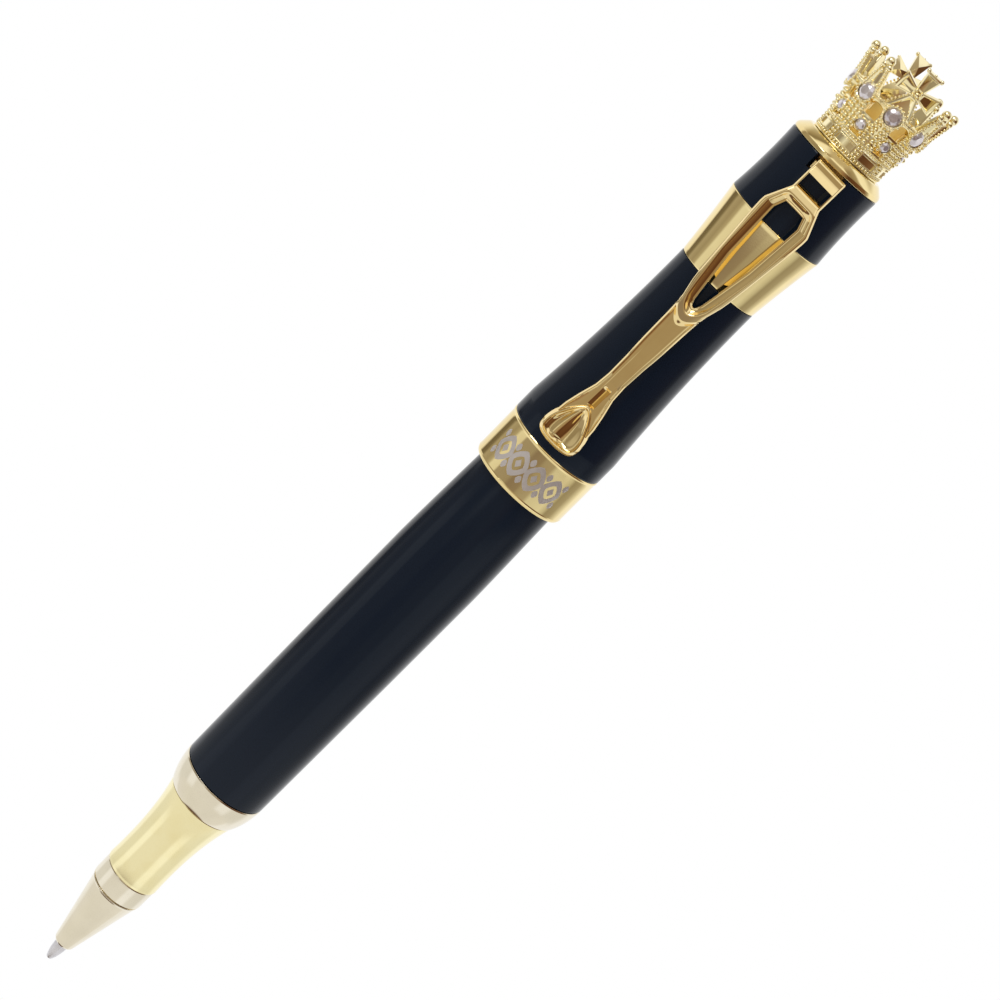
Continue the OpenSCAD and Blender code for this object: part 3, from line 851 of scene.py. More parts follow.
# Its half width, and the distances of its front and back from the pen's axis, each by height
CLIP_HALF = [
    (142.35, 2.05), (142.2, 2.1), (138.3, 2.1), (135.3, 3.42), (134.6, 3.45), (133.0, 3.35), (124.0, 2.5),
    (119.8, 1.9), (117.0, 1.68), (114.0, 1.55), (111.5, 1.38), (108.5, 1.3), (106.5, 1.45), (104.3, 2.0),
    (102.6, 2.35), (101.0, 2.5),
]
FRAME_FRONT = [
    (142.35, 7.1), (142.22, 7.34), (142.1, 7.42), (141.65, 7.44), (140.55, 7.9), (138.4, 7.94), (137.6, 8.24),
    (135.3, 8.34), (132.0, 8.3), (120.0, 7.86), (118.0, 7.74),
]
SHANK_FRONT = [
    (118.0, 7.46), (112.0, 7.44), (107.8, 7.4), (106.4, 7.41), (105.2, 7.46), (103.8, 7.6), (102.4, 7.8),
    (101.0, 8.02), (99.2, 8.24), (98.35, 8.2),
]
CLIP_BACK = [
    (142.35, 6.55), (140.0, 6.6), (137.0, 6.85), (134.0, 7.15), (130.0, 7.12), (120.0, 6.85), (112.0, 6.6),
    (106.8, 6.42), (105.4, 6.42), (103.6, 6.75), (101.0, 7.1), (100.2, 7.15), (98.35, 7.6),
]
# Right half of the drop-shaped hole, its ends, and the strap's window
CLIP_HOLE = [(0, 120.75), (0.22, 120.85), (0.5, 121.5), (1.45, 128.0), (1.8, 135.2), (1.3, 136.55), (0, 136.55)]
HOLE_LOW, HOLE_TOP, WINDOW_LOW, WINDOW_TOP, WINDOW_HALF = 120.75, 136.55, 138.35, 140.55, 1.78
# The step is a U: the rows near it bow up at their ends, and above it the frame falls to just below the shank's face
STEP_Z, STEP_TOP, STEP_FALL, STEP_SINK, STEP_BOW, STEP_REACH = 118.0, 118.7, 0.66, 0.1, 1.9, 5.0
# The frame's section from the hole outwards: distance from the hole, and depth below the frame's crest
FRAME_SECTION = [(0, 0.58), (0.04, 0.50), (0.16, 0.50), (0.22, 0.60), (0.36, 0.58), (0.62, 0.38), (0.86, 0.16),
                 (0.98, 0.03), (1.06, 0)]
# The clip's outer edge: distance in from its side, and depth below the crest
CLIP_EDGE = [(0.27, 0.0), (0.23, 0.03), (0.03, 0.42), (0, 0.52)]
# The lip inside the shank's edge: distance out from the channel, and depth
SHANK_LIP, SHANK_LIP_WIDTH = [(0, 0.15), (0.05, 0.12), (0.11, 0.02)], 0.42
# The groove above the paddle: depth, heights, height over which it starts, and its slopes as (edge, width)
GROOVE_DEPTH, GROOVE_LOW, GROOVE_TOP, GROOVE_END = 0.52, 104.35, 107.2, 0.21
GROOVE_SLOPES = ((0.5, 0.85), (0.5, 0.1))


def distance_to_hole(x, z):
    """Distance from a point of the clip's face to the outline of its hole."""
    nearest = 99.0
    for (x0, z0), (x1, z1) in zip(CLIP_HOLE, CLIP_HOLE[1:]):
        t = ((x - x0) * (x1 - x0) + (z - z0) * (z1 - z0)) / ((x1 - x0) ** 2 + (z1 - z0) ** 2)
        t = min(1.0, max(0.0, t))
        nearest = min(nearest, math.hypot(x - x0 - t * (x1 - x0), z - z0 - t * (z1 - z0)))
    return nearest


def hole_half(z, offset):
    """Half width, at one height, of the hole grown by an offset."""
    inside = blend_stations([(height, x) for x, height in CLIP_HOLE[1:-1]], z) if HOLE_LOW < z < HOLE_TOP else 0.0
    if inside == 0.0 and distance_to_hole(0, z) >= offset:
        return 0.0
    low, high = inside, 6.0
    for _ in range(30):
        middle = (low + high) / 2
        if distance_to_hole(middle, z) < offset:
            low = middle
        else:
            high = middle
    return (low + high) / 2


def clip_row(z):
    """Half of the clip's face at one height, from the middle out, as (x, distance from the axis)."""
    outer = blend_stations(CLIP_HALF, z)
    if z < STEP_Z:
        top, inner = blend_stations(SHANK_FRONT, z), outer - SHANK_LIP_WIDTH
        hidden = max(paddle_half(z) - 0.42, 0.0)
        if hidden:  # sunk under the paddle, and not seen
            under = min(0.85, top - blend_stations(CLIP_BACK, z) - 0.1)
            channel = [(hidden * k / 3, under) for k in range(4)]
        else:
            channel = [(0.15 * k, 0.1) for k in range(4)]
            hidden = 0.45
        channel += [(hidden + 0.08, 0.1), (max(hidden + 0.16, inner * 0.6), 0.12)]
        channel += [(inner + x, depth) for x, depth in SHANK_LIP]
    else:
        top, limit = blend_stations(FRAME_FRONT, z), outer - 0.3
        if z > WINDOW_LOW - 0.01:
            half = WINDOW_HALF if z < WINDOW_TOP + 0.01 else 0.0
            channel = [(half + (limit - half) * k / 8, 0.0) for k in range(9)]
        else:
            hole = hole_half(z, 1e-4) if HOLE_LOW < z < HOLE_TOP else 0.0
            depth = FRAME_SECTION[0][1] if hole else blend_stations(FRAME_SECTION, distance_to_hole(0, z))
            channel = [(hole, depth)]
            for k, (offset, _) in enumerate(FRAME_SECTION[1:], 1):
                x = min(max(hole_half(z, offset), limit * k / 9), limit)
                channel.append((x, blend_stations(FRAME_SECTION, distance_to_hole(x, z))))
    edge = [(outer - inward, depth) for inward, depth in CLIP_EDGE]
    return [(x, top - depth) for x, depth in channel + edge], outer


def make_clip():
    """The clip: its blade in rows from the strap down, its paddle, and the root that it turns on."""
    rows = [142.35, 142.28, 142.1, 141.9, 141.7, 141.5, 141.2, 140.8, WINDOW_TOP + 0.02, WINDOW_TOP]
    rows += [140.2, 139.8, 139.4, 139.0, 138.7, WINDOW_LOW, WINDOW_LOW - 0.02] + steps(138.2, 136.75, 14)[:-1]
    rows += [136.75, 136.68, 136.6, 136.56, 136.54, 136.4, 136.1, 135.8] + steps(135.5, 133.0, 10)
    rows += steps(132.5, 122.0, 34) + steps(121.8, 120.8, 8) + steps(120.74, 119.6, 12)
    rows += [119.2, 118.9, 118.72, 118.66, 118.5, 118.3, 118.1, STEP_Z]
    rows += [117.999, 117.9, 117.75, 117.55, 117.3, 117.0] + steps(116.5, 108.0, 17) + steps(107.8, 101.4, 64)
    front, back = [], []
    for z in rows:
        half, outer = clip_row(z)
        if STEP_Z <= z < STEP_TOP:
            shank = blend_stations(SHANK_FRONT, z) - STEP_SINK
            fall = min(1.0, (STEP_TOP - z) / STEP_FALL)
            half = [(x, y + (min(y, shank) - y) * fall) for x, y in half]
        line = [(-x, y) for x, y in reversed(half)] + half
        behind = blend_stations(CLIP_BACK, z)
        bow = STEP_BOW * max(0.0, 1 - abs(z - STEP_Z) / STEP_REACH)
        sill = 0.5 if abs(z - WINDOW_LOW) < 0.03 else 0.0
        cut = GROOVE_DEPTH * min(1.0, max(0.0, (GROOVE_TOP - z) / GROOVE_END)) if z > GROOVE_LOW else 0.0

        def lift(x):
            """How far the row bows up at this distance from its middle."""
            return bow * (abs(x) / outer) ** 1.8

        def groove(x):
            """Depth of the groove above the paddle."""
            (left, left_width), (right, right_width) = GROOVE_SLOPES
            return cut * max(0.0, min((x + left) / left_width, (right - x) / right_width))

        front.append([(x, groove(x) - y, z + lift(x)) for x, y in line])
        back.append([(x, -behind, z + lift(x) + sill) for x, _ in line])

    middle = len(front[0]) // 2 - 1

    def solid(i, j):
        z = (rows[i] + rows[i + 1]) / 2
        return not (j == middle and (WINDOW_LOW < z < WINDOW_TOP or HOLE_LOW < z < HOLE_TOP))

    blade = askew(shell("clip_blade", front, back, CLIP_GOLD, solid, angle=50))
    paddle = askew(paddle_part())
    neck = box_part("clip_neck", (-1.8, -6.9, 141.0), (1.8, -3.6, 141.9), CLIP_GOLD)
    knuckle = cross_pin("clip_knuckle", 0.6, -2.55, 2.55, -3.6, 141.45, CLIP_GOLD)
    whole = joined("clip_blade", [blade, paddle, neck, knuckle], 50)
    piece(whole, "clip", "clip_gold", "clip")


def askew(made):
    """Turns a part of the clip by the small angle at which the clip sits."""
    pivot = Vector((0, 0, (CLIP_PIVOT_Z - HOLD_Z) * MM))
    turn = Matrix.Rotation(CLIP_SKEW, 4, "Y")
    made.data.transform(Matrix.Translation(pivot) @ turn @ Matrix.Translation(-pivot))
    return made


def rounded(corners, times=3):
    """A closed outline with its corners cut again and again, which rounds them."""
    for _ in range(times):
        cut = []
        for k, (x, z) in enumerate(corners):
            nx, nz = corners[(k + 1) % len(corners)]
            cut += [(x + (nx - x) * t, z + (nz - z) * t) for t in (0.25, 0.75)]
        corners = cut
    return corners


PADDLE = rounded([(0.6, 104.35), (2.15, 102.4), (2.98, 100.0), (2.5, 97.9),
                  (-2.5, 97.9), (-2.98, 100.0), (-2.15, 102.4), (-0.6, 104.35)])
PADDLE_Z = 101.0  # height of the point that its rim and dish close in on
# Its rim, as (distance in from the edge, rise above the clip's face), and its dish, as (x, rise) where it is widest
PADDLE_RIM = [(0, -0.85), (0.02, -0.78), (0.34, 0.03), (0.4, 0.11), (0.5, 0.12), (0.55, 0.06), (0.61, -0.08),
              (0.68, -0.2)]
PADDLE_DISH = [(-2.3, -0.2), (-1.72, -0.56), (-1.5, -0.5), (-1.15, -0.3), (-0.85, -0.22), (-0.5, -0.27),
               (0.1, -0.62), (0.4, -0.74), (0.7, -0.73), (1.3, -0.5), (2.3, -0.2)]


def paddle_half(z):
    """Half width of the paddle at one height; far below nothing where the paddle doesn't reach."""
    half = -9.0
    for (x0, z0), (x1, z1) in zip(PADDLE, PADDLE[1:] + PADDLE[:1]):
        if min(z0, z1) <= z <= max(z0, z1) and z0 != z1:
            half = max(half, x0 + (x1 - x0) * (z - z0) / (z1 - z0))
    return half


def paddle_part():
    """The paddle: a rounded triangle with a raised rim round a dished middle."""
    count, turns = len(PADDLE), 20
    (rim_width, rim_end), dish_half = PADDLE_RIM[-1], PADDLE_DISH[-1][0]

    def inwards(x, z, share):
        return x * share, PADDLE_Z + (z - PADDLE_Z) * share

    loops = [[(x, -blend_stations(CLIP_BACK, z), z) for x, z in PADDLE]]
    for inward, rise in PADDLE_RIM:
        loop = []
        for x, z in PADDLE:
            far = math.hypot(x, z - PADDLE_Z)
            px, pz = inwards(x, z, 1 - inward / far)
            front = blend_stations(SHANK_FRONT, pz)
            upward = max(0.0, ((z - PADDLE_Z) / far - 0.85) / 0.15)
            gentler = 0.66 * upward if rise < 0 and inward < 0.3 else 0.0
            thick = front - blend_stations(CLIP_BACK, pz) - 0.1
            loop.append((px, -(front + max(rise * (1 - gentler), -thick)), pz))
        loops.append(loop)
    edge = loops[-1]
    for k in range(1, turns):
        loop = []
        for x, _, z in edge:
            px, pz = inwards(x, z, 1 - k / turns)
            reach = max(paddle_half(pz) - rim_width, 0.3)
            depth = blend_stations(PADDLE_DISH, dish_half * max(-1.0, min(1.0, px / reach))) - rim_end
            dish = rim_end + depth * min(1.0, reach / 1.8) * min(1.0, 7 * k / turns)
            loop.append((px, -(blend_stations(SHANK_FRONT, pz) + dish), pz))
        loops.append(loop)
    points = [point for loop in loops for point in loop]
    last = len(points) - count
    points.append((0, -(blend_stations(SHANK_FRONT, PADDLE_Z) + blend_stations(PADDLE_DISH, 0)), PADDLE_Z))
    faces = []
    for i in range(len(loops) - 1):
        faces += quads(i * count, (i + 1) * count, count)
    faces += [[last + k, last + (k + 1) % count, len(points) - 1] for k in range(count)]
    faces.append(list(reversed(range(count))))
    return mesh_object("paddle", points, faces, CLIP_GOLD, 60)


def box_part(name, low, high, material, width=0.08):
    """A box between two corners, with its edges rounded."""
    corners = [(x, y, z) for z in (low[2], high[2]) for y in (low[1], high[1]) for x in (low[0], high[0])]
    faces = [[0, 2, 3, 1], [4, 5, 7, 6], [0, 1, 5, 4], [2, 6, 7, 3], [0, 4, 6, 2], [1, 3, 7, 5]]
    return bevelled(mesh_object(name, corners, faces, material), width)


def cross_pin(name, radius, x0, x1, y, z, material, segments=40):
    """A round bar along X."""
    points = []
    for x in (x0, x1):
        points += [(x, y + radius * math.cos(TAU * k / segments), z + radius * math.sin(TAU * k / segments))
                   for k in range(segments)]
    faces = quads(0, segments, segments)
    faces += [list(range(segments)), list(range(2 * segments - 1, segments - 1, -1))]
    return bevelled(mesh_object(name, points, faces, material), 0.08)


# ---------------------------------------------------------------- finial and crown

def on_crown(angle, radius, z, across=0.0):
    """A point at an angle from the front cross, a radius and a height, moved across the wall."""
    t = math.radians(CROWN_TURN + angle)
    return (radius * math.sin(t) + across * math.cos(t), -radius * math.cos(t) + across * math.sin(t), z)


def make_finial():
    """The ring under the crown, and the threaded stud that holds the crown."""
    ring = lathe("finial_ring_plate", [
        (1.6, 142.65), (6.36, 142.65), (6.46, 142.74), (6.46, 142.98), (6.40, 143.18), (6.28, 143.36),
        (5.50, 144.08), (5.3, 144.18), (5.05, 144.2), (1.6, 144.2),
    ], GOLD, 0.05)
    piece(ring, "finial", "polished_gold", "finial_ring")
    stud = lathe("crown_stud_rod", [
        (0, 137.5), (1.0, 137.5), (1.28, 137.8), (1.28, 142.4), (1.5, 142.5), (1.5, 145.2), (0, 145.2),
    ], BRASS, 0.05, SMALL_ROUND)
    stud = threaded(stud, 1.28, 137.95, 142.2, 6.07, 0.2, BRASS, 8, 32)
    piece(stud, "crown", "turned_brass", "crown_stud")


def crown_wall():
    """The flared wall, pierced by two rows of openings, and a cast skin on its inner face, rougher, whose deeper and
    brighter amber is painted glow of light bouncing inside the crown.
    """
    gap_from, gap_to = 12.5, 32.5
    offsets = [0, 4.2, 8.4, gap_from, 14.2, 16.5, 19.5, 22.5, 25.5, 28.5, 30.8, gap_to, 36.6, 40.8]
    low, small_top, big_low, big_top = 146.75, 147.65, 149.25, 150.55
    heights = [146.45, low, 147.2, small_top, 148.0, 148.8, big_low, 149.9, big_top, 151.15, 151.4]

    def arch(offset, z):
        if z != big_top:
            return 0.0
        return 0.45 * math.sqrt(max(0.0, 1 - ((offset - SECTOR / 2) / 10) ** 2))

    def grid(inset):
        return [[on_crown(SECTOR * p + a, crown_curve(z) - inset, z + arch(a, z))
                 for p in range(POINTS) for a in offsets] for z in heights]

    def solid(i, j):
        in_gap = gap_from <= offsets[j % len(offsets)] < gap_to
        middle = (heights[i] + heights[i + 1]) / 2
        return not (in_gap and (low < middle < small_top or big_low < middle < big_top))

    wall = bevelled(shell("crown_wall", grid(0.0), grid(0.66), CROWN_GOLD, solid, True), 0.06, 2, 30, 45)
    # The skin's amber colour is painted glow of light bouncing inside the crown.
    lining = shell("crown_lining_painted_glow", grid(0.62), grid(0.72), CROWN_INSIDE_PAINTED_GLOW, solid, True)
    return wall, lining


def crown_base():
    """The crown's floor and the channel round its foot."""
    return lathe("crown_base", [
        (1.5, 144.25), (4.85, 144.25), (4.87, 144.36), (4.80, 144.46), (4.66, 144.5), (4.60, 144.95),
        (4.60, 145.95), (4.66, 146.25), (4.80, 146.32), (4.85, 146.42), (4.74, 146.52), (3.95, 146.52),
        (3.9, 145.3), (3.75, 145.2), (1.5, 145.2),
    ], CROWN_GOLD, 0.04, 144)


def crown_panels():
    """Raised rectangular frames round the base, one under each opening."""
    parts = []
    half_w, half_h, border, middle = 16.5, 0.56, 0.16, 145.4
    heights = [middle - half_h, middle - half_h + border, middle + half_h - border, middle + half_h]
    for p in range(POINTS):
        angles = [SECTOR * (p + 0.5) + half_w * t for t in (-1, -0.86, -0.6, -0.3, 0, 0.3, 0.6, 0.86, 1)]
        outer = [[on_crown(a, 4.84, z) for a in angles] for z in heights]
        inner = [[on_crown(a, 4.52, z) for a in angles] for z in heights]
        last = len(angles) - 2
        frame_part = shell("panel", outer, inner, CROWN_GOLD, lambda i, j: i != 1 or j in (0, last))
        parts.append(bevelled(frame_part, 0.04, 2, 30, 45))
    return joined("crown_panels", parts, 45)


def tilted(angle, radius, z, lean, across, out, up):
    """A point given in a plate's own axes: across, out of its face and up it, on a plate that leans outwards."""
    c, s = math.cos(math.radians(lean)), math.sin(math.radians(lean))
    return on_crown(angle, radius + out * c + up * s, z + up * c - out * s, across)


# Radius, height and outward lean, in degrees, of a cross's middle and of a narrow point's foot
CROSS_SEAT, KNOT_SEAT = (5.75, 154.62, 12), (5.3, 151.1, 12)
# Heights of the rows of stones, the radii of the large and the small ones, and the gap round each in its bezel
LARGE_Z, SMALL_Z, LARGE_R, SMALL_R, STONE_GAP = 151.0, 148.0, 1.04, 0.61, 0.02


def arm_part(angle, corners, deep):
    """One flared arm of a cross: a thick plate with a border round a sunken floor.

    The floor is four facets that meet at a point (across, up), or one facet given by how far out its corners are.
    """
    x_mid, y_mid = sum(x for x, _ in corners) / 4, sum(y for _, y in corners) / 4

    def loop(share, *outs):
        return [tilted(angle, *CROSS_SEAT, x_mid + (x - x_mid) * share, out, y_mid + (y - y_mid) * share)
                for (x, y), out in zip(corners, outs)]

    points = loop(1, -0.42, -0.42, -0.42, -0.42) + loop(1, 0.22, 0.22, 0.36, 0.36)
    points += loop(0.78, 0.24, 0.24, 0.42, 0.42) + loop(0.64, 0.16, 0.16, 0.30, 0.30)
    flat = len(deep) == 4
    points += loop(0.6, *deep) if flat else [tilted(angle, *CROSS_SEAT, deep[0], -0.22, deep[1])]
    points.append(tilted(angle, *CROSS_SEAT, x_mid, -0.68, y_mid))
    faces = [[k, (k + 1) % 4, len(points) - 1] for k in range(4)]
    for i in range(4 if flat else 3):
        faces += quads(4 * i, 4 * i + 4, 4)
    faces += [[16, 17, 18, 19]] if flat else [[12 + k, 12 + (k + 1) % 4, 16] for k in range(4)]
    return bevelled(mesh_object("arm", points, faces, CROWN_GOLD, 14), 0.035, 2, 14, 14)


def cross_part(angle):
    """A cross of four flared arms, the lowest one widest."""
    arms = [
        ([(0.5, 0.35), (-0.5, 0.35), (-1.0, 2.85), (1.0, 2.85)], (0, 2.3)),
        ([(0.35, -0.5), (0.35, 0.5), (2.5, 1.25), (2.5, -1.0)], (0.18, 0.07, -0.33, -0.09)),
        ([(-0.35, 0.5), (-0.35, -0.5), (-2.5, -1.0), (-2.5, 1.25)], (-2.05, -0.2)),
        ([(-0.5, -0.35), (0.5, -0.35), (1.75, -3.05), (-1.75, -3.05)], (0, -1.0)),
    ]
    return joined("cross", [arm_part(angle, corners, deep) for corners, deep in arms], 14)


def knot_part(angle):
    """A narrow point with a ridge down its middle; the balls on its tip are beads."""
    outside, inside = [], []
    for up, half in ((0, 1.15), (1.2, 0.94), (2.4, 0.72), (3.3, 0.52), (3.6, 0.3)):
        shape = [(-half, 0.26), (-half * 0.72, 0.2), (-half * 0.4, 0.05), (0, 0.34), (half * 0.4, 0.05),
                 (half * 0.72, 0.2), (half, 0.26)]
        outside.append([tilted(angle, *KNOT_SEAT, x, out, up) for x, out in shape])
        inside.append([tilted(angle, *KNOT_SEAT, x, -0.42, up) for x, _ in shape])
    return bevelled(shell("knot", outside, inside, CROWN_GOLD), 0.04, 2, 25, 40)


def bezel_part(angle, z, radius, out_from, out_to, wall):
    """A round cup that holds a stone, facing outwards."""
    segments = 40
    profile = [(radius + wall, out_from), (radius + wall, out_to - 0.08), (radius + wall * 0.6, out_to),
               (radius + 0.02, out_to - 0.06), (radius - 0.02, out_from + 0.25), (radius - 0.02, out_from)]
    points, faces = [], []
    for r, out in profile:
        for k in range(segments):
            t = TAU * k / segments
            points.append(on_crown(angle, out, z + r * math.sin(t), r * math.cos(t)))
    count = len(profile)
    for i in range(count):
        faces += quads(i * segments, (i + 1) % count * segments, segments)
    return mesh_object("bezel", points, faces, CROWN_GOLD)


def stone_part(angle, z, radius, out):
    """A round brilliant: a table, three rows of crown facets, a girdle and a pointed back."""
    table = circle(radius * 0.52, radius * 0.42, 8, 0.0)
    star = circle(radius * 0.76, radius * 0.27, 8, 0.5)
    girdle = circle(radius, radius * 0.04, 16, 0.0)
    under = circle(radius, -radius * 0.06, 16, 0.0)
    flat = table + star + girdle + under + [(0, 0, -radius * 0.55)]
    faces = [list(range(8))]
    for k in range(8):
        n = (k + 1) % 8
        s0, s1 = 8 + k, 8 + (k - 1) % 8
        g = 16 + 2 * k
        g_next, g_mid = 16 + (2 * k + 2) % 16, 16 + 2 * k + 1
        faces += [[k, n, s0], [k, s0, g, s1], [s0, g_mid, g], [s0, g_next, g_mid]]
    for k in range(16):
        n = (k + 1) % 16
        faces += [[16 + k, 16 + n, 32 + n, 32 + k], [32 + k, 32 + n, 48]]
    points = [on_crown(angle, out + h, z + y, x) for x, y, h in flat]
    return mesh_object("stone", points, faces, CRYSTAL, 1)


def crown_beads():
    """Every bead of the crown: rows on the base, pillars, rim, bezels, crosses and points."""
    spots, foot_r = [], 4.78

    def chain(count, position, radius):
        spots.extend((position(k / max(count - 1, 1)), radius) for k in range(count))

    def wall(angle, z, out=0.04):
        return on_crown(angle, crown_curve(z) + out, z)

    def plate_bead(seat, across, out, up, radius):
        spots.append((tilted(a, *seat, across, out, up), radius))

    for z in (144.64, 146.34):
        count = 64
        chain(count, lambda t: on_crown(360 * t * (count - 1) / count, foot_r, z), 0.2)
    for p in range(POINTS):
        a, gap = SECTOR * p, SECTOR * (p + 0.5)
        for side in (-1, 1):
            chain(6, lambda t: wall(a + side * (11.0 - 1.5 * t), 146.85 + 3.1 * t), 0.3)
            chain(5, lambda t: wall(a + side * 4.0, 146.9 + 2.4 * t, 0.1), 0.29)
            chain(4, lambda t: wall(a + side * (13.6 + 8.9 * t), 151.38, 0.03), 0.24)
            chain(3, lambda t: on_crown(a + side * 2.6, foot_r, 144.95 + t), 0.22)
            spots.append((on_crown(gap, 5.12, SMALL_Z + side * 0.1, side * 0.95), 0.27))
            spots.append((on_crown(gap, 5.16, 148.75, side * 0.55), 0.2))
            spots.append((on_crown(gap, 5.0, 147.3, side * 0.6), 0.2))
        for t in steps(0, TAU, 16)[:-1]:
            spots.append((on_crown(a, 5.66, LARGE_Z + 1.26 * math.sin(t), 1.26 * math.cos(t)), 0.185))
        if p % 4 == 0:
            plate_bead(CROSS_SEAT, 0, 0.5, 0, 0.33)
            for k in range(4):
                t = TAU * (k + 0.5) / 4
                plate_bead(CROSS_SEAT, 0.5 * math.cos(t), 0.34, 0.5 * math.sin(t), 0.2)
            for x, up, radius in ((-0.98, 2.8, 0.27), (0.98, 2.8, 0.27), (0, 2.88, 0.17), (-2.42, 1.1, 0.17),
                                  (2.42, 1.1, 0.17), (-2.42, -0.9, 0.17), (2.42, -0.9, 0.17)):
                plate_bead(CROSS_SEAT, x, 0.12, up, radius)
            for side in (-1, 1):
                chain(7, lambda t: tilted(a, *CROSS_SEAT, side * (0.75 + 1.25 * t), 0.2, -0.75 - 2.3 * t), 0.15)
        else:
            for side in (-1, 1):
                chain(8, lambda t: tilted(a, *KNOT_SEAT, side * (1.1 - 0.62 * t), 0.26, 0.3 + 2.7 * t), 0.2)
                plate_bead(KNOT_SEAT, side * 0.42, 0.05, 3.42, 0.43)
            plate_bead(KNOT_SEAT, 0, 0, 4.05, 0.6)
            plate_bead(KNOT_SEAT, 0, 0.35, 2.75, 0.24)
    return beads("crown_beads", spots, CROWN_GOLD)


def make_crown():
    """The crown in its cast parts, and its two rows of stones."""
    points = [SECTOR * p for p in range(POINTS)]
    gaps = [angle + SECTOR / 2 for angle in points]
    crosses = joined("crown_crosses", [cross_part(angle) for angle in (0, 180)], 14)
    knots = joined("crown_points", [knot_part(angle) for angle in points if angle % 180], 40)
    large = [bezel_part(angle, LARGE_Z, LARGE_R + STONE_GAP, 4.7, 5.72, 0.2) for angle in points]
    small = [bezel_part(angle, SMALL_Z, SMALL_R + STONE_GAP, 4.2, 5.1, 0.16) for angle in gaps]
    settings = joined("crown_bezels", large + small, 40)
    for made in (*crown_wall(), crown_base(), crown_panels(), crosses, knots, settings, crown_beads()):
        piece(made, "crown", "crown_gold", "crown")
    stones = joined("crown_stones_cut", [stone_part(angle, LARGE_Z, LARGE_R, 5.55) for angle in points], 1)
    piece(stones, "crown", "crystal", "crown_stones")
    stones = joined("crown_small_stones_cut", [stone_part(angle, SMALL_Z, SMALL_R, 5.0) for angle in gaps], 1)
    piece(stones, "crown", "crystal", "crown_small_stones")


# ---------------------------------------------------------------- camera, light and floor

def make_camera():
    """Looks at the clip from a little above, rolled so that the pen runs from corner to corner."""
    elevation, slant = math.radians(16.0), math.radians(45.25)
    aim, distance = Vector((-0.14 * MM, 0, (86.66 - HOLD_Z) * MM)), 0.28708
    forward = Vector((0, math.cos(elevation), -math.sin(elevation)))
    across, along_pen = Vector((1, 0, 0)), Vector((0, math.sin(elevation), math.cos(elevation)))
    right = across * math.sin(slant) + along_pen * math.cos(slant)
    up = along_pen * math.sin(slant) - across * math.cos(slant)
    data = bpy.data.cameras.new("camera")
    data.lens = 86.4
    data.sensor_width = 36
    data.clip_start = 0.01
    data.clip_end = 50
    camera = linked("camera", data)
    camera.matrix_world = Matrix((right, up, -forward)).transposed().to_4x4()
    camera.location = aim - forward * distance
    bpy.context.scene.camera = camera


def make_floor():
    """A white floor that sweeps up all round the pen; it is seen behind the pen but isn't mirrored."""
    reach, z, bend, rise, around = 4.0, (-6.0 - HOLD_Z) * MM, 0.8, 2.4, 64
    flat = reach - bend
    curve = [(flat, z)]
    curve += [(flat + bend * math.sin(a), z + bend * (1 - math.cos(a))) for a in steps(0.1, math.pi / 2, 12)]
    curve += [(reach, z + rise)]
    points = [(0, 0, z)] + [point for r, height in curve for point in circle(r, height, around)]
    faces = [[0, 1 + k, 1 + (k + 1) % around] for k in range(around)]
    for i in range(len(curve) - 1):
        base = 1 + i * around
        faces += [[base + k, base + around + k, base + around + (k + 1) % around, base + (k + 1) % around]
                  for k in range(around)]
    mesh = bpy.data.meshes.new("floor")
    mesh.from_pydata(points, [], faces)
    mesh.shade_smooth()
    material = bpy.data.materials.new("pale_floor")
    material.use_nodes = True
    material.node_tree.nodes.clear()
    glow = node(material.node_tree, "ShaderNodeEmission", Color=(1, 1, 1), Strength=1.0)
    node(material.node_tree, "ShaderNodeOutputMaterial", Surface=glow.outputs[0])
    mesh.materials.append(material)
    floor = linked("floor", mesh)
    floor.visible_glossy = False
    floor.visible_transmission = False


# The studio that the pen mirrors. Each tier is a ring of panels, as (angle from the clip's side towards +X, tint).
WHITE = (1.0, 1.0, 1.0)
GROUND_PANELS = [  # mirrored by the cone and the collar
    (-180, WHITE), (-118, WHITE), (-108, (0.86, 0.84, 0.80)), (-60, (0.86, 0.84, 0.78)),
    (60, (0.84, 0.82, 0.77)), (100, (0.88, 0.86, 0.81)), (110, WHITE), (180, WHITE),
]
TABLE_PANELS = [  # mirrored by the grip and the nose ring
    (-180, WHITE), (-128, WHITE), (-116, (0.82, 0.81, 0.77)), (-80, (0.82, 0.81, 0.77)),
    (-71, WHITE), (-54, WHITE), (-45, (0.85, 0.83, 0.78)), (30, (0.85, 0.83, 0.78)),
    (40, WHITE), (60, WHITE), (72, (0.84, 0.83, 0.79)), (112, (0.82, 0.81, 0.77)),
    (128, WHITE), (180, WHITE),
]
LOW_PANELS = [  # mirrored by the band, the conical ring and the clip's shank
    (-180, WHITE), (-132, (0.92, 0.90, 0.86)), (-124, (0.17, 0.14, 0.10)), (-112, (0.20, 0.17, 0.12)),
    (-104, (0.42, 0.38, 0.32)), (-90, (0.36, 0.32, 0.26)), (-80, (0.46, 0.42, 0.35)), (-74, (0.80, 0.80, 0.76)),
    (-58, (0.78, 0.77, 0.72)), (-54, (0.38, 0.34, 0.30)), (-24, (0.36, 0.32, 0.27)), (-16, (0.27, 0.22, 0.19)),
    (4, (0.30, 0.25, 0.21)), (10, (0.38, 0.34, 0.29)), (30, (0.42, 0.38, 0.33)), (38, (0.66, 0.66, 0.62)),
    (72, (0.74, 0.74, 0.70)), (84, (0.56, 0.55, 0.50)), (92, (0.34, 0.31, 0.26)), (108, (0.40, 0.37, 0.32)),
    (122, (0.70, 0.69, 0.66)), (134, WHITE),
]
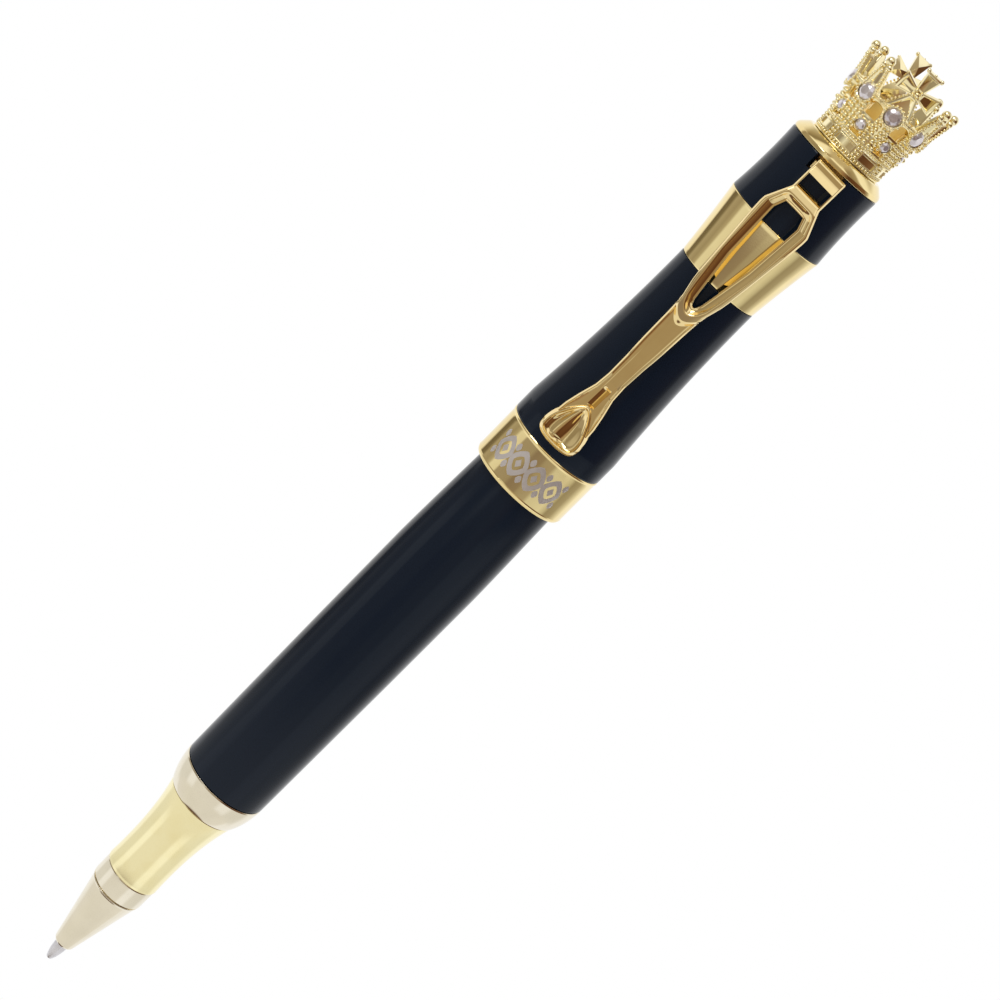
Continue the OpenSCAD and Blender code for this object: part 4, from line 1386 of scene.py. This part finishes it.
HIGH_PANELS = [  # mirrored by the upright faces of the clip's frame and of the crown
    (-180, WHITE), (-112, (1.0, 0.98, 0.94)), (-104, (0.36, 0.31, 0.24)), (-84, (0.40, 0.35, 0.27)),
    (-60, (0.34, 0.29, 0.22)), (-42, (0.30, 0.26, 0.20)), (-26, (0.78, 0.76, 0.70)), (-12, (0.38, 0.31, 0.22)),
    (14, (0.40, 0.33, 0.24)), (24, (0.34, 0.22, 0.14)), (40, (0.10, 0.045, 0.022)), (66, (0.14, 0.065, 0.032)),
    (92, (0.20, 0.11, 0.06)), (103, (0.45, 0.40, 0.32)), (111, (1.0, 0.98, 0.94)), (150, WHITE),
]
CEILING_PANELS = [  # mirrored by faces that lean up
    (-180, (0.60, 0.56, 0.48)), (-140, (0.58, 0.54, 0.46)), (-126, (0.42, 0.36, 0.26)), (-114, (0.28, 0.23, 0.15)),
    (-107, (0.30, 0.25, 0.17)), (-101, (0.85, 0.80, 0.70)), (-96, WHITE), (-58, WHITE),
    (-50, (0.42, 0.35, 0.26)), (-30, (0.42, 0.35, 0.26)), (-20, (1.0, 0.98, 0.94)), (40, (1.0, 0.98, 0.94)),
    (52, (0.34, 0.27, 0.19)), (72, (0.30, 0.24, 0.17)), (98, (0.42, 0.36, 0.27)), (107, WHITE),
    (124, (0.95, 0.94, 0.90)), (136, (0.60, 0.56, 0.48)), (180, (0.60, 0.56, 0.48)),
]
STRAIGHT_DOWN, STRAIGHT_UP = (0.15, 0.085, 0.05), (0.56, 0.49, 0.38)
# The tiers from the ground up, each with the elevations, in degrees, over which it takes over from the one below
TIERS = [
    (GROUND_PANELS, -76, -69), (TABLE_PANELS, -46, -38), (LOW_PANELS, -26, -21.5), (HIGH_PANELS, -14.2, -13.0),
    (CEILING_PANELS, 26, 42), (STRAIGHT_UP, 68, 80),
]


def make_world():
    """The studio: tiers of panels all round, one above another."""
    world = bpy.data.worlds.new("studio")
    bpy.context.scene.world = world
    world.use_nodes = True
    tree = world.node_tree
    tree.nodes.clear()
    way = tree.nodes.new("ShaderNodeTexCoord").outputs["Generated"]
    split = node(tree, "ShaderNodeSeparateXYZ", Vector=way).outputs
    turn = math_node(tree, "ARCTAN2", split["X"], math_node(tree, "MULTIPLY", split["Y"], -1.0))
    share = math_node(tree, "ADD", math_node(tree, "DIVIDE", turn, TAU), 0.5)

    def panels(rows):
        ramp = node(tree, "ShaderNodeValToRGB", Fac=share)
        stops = ramp.color_ramp.elements
        for k, (degrees, colour) in enumerate(rows):
            position = degrees / 360 + 0.5
            stop = stops[k] if k < 2 else stops.new(position)
            stop.position = position
            stop.color = (*colour, 1)
        return ramp.outputs["Color"]

    lit = STRAIGHT_DOWN
    for tier, start, end in TIERS:
        low, high = math.sin(math.radians(start)), math.sin(math.radians(end))
        rise = node(tree, "ShaderNodeMapRange", Value=split["Z"], From_Min=low, From_Max=high)
        rise.interpolation_type = "SMOOTHSTEP"
        lit = colour_mix(tree, rise.outputs["Result"], lit, tier if isinstance(tier, tuple) else panels(tier))
    glow = node(tree, "ShaderNodeBackground", Color=lit, Strength=1.0)
    node(tree, "ShaderNodeOutputWorld", Surface=glow.outputs[0])


def make_lamp(name, place_at, aim_z, size, watts):
    """A soft rectangular lamp that looks at a height on the pen's axis."""
    data = bpy.data.lights.new(name, "AREA")
    data.shape = "RECTANGLE"
    data.size, data.size_y = size
    data.energy = watts
    lamp = linked(name, data)
    lamp.location = place_at
    towards = Vector((0, 0, (aim_z - HOLD_Z) * MM)) - lamp.location
    lamp.rotation_euler = towards.to_track_quat("-Z", "Y").to_euler()


# ---------------------------------------------------------------- the whole scene

make_camera()
make_world()
make_floor()
make_lamp("key", (-0.55, -0.5, 0.75), 120, (0.35, 0.5), 2.2)
make_refill()
make_section()
make_barrel()
make_cap()
make_clip()
make_finial()
make_crown()
bpy.context.scene.view_settings.view_transform = "Standard"
bpy.context.scene.view_settings.look = "None"
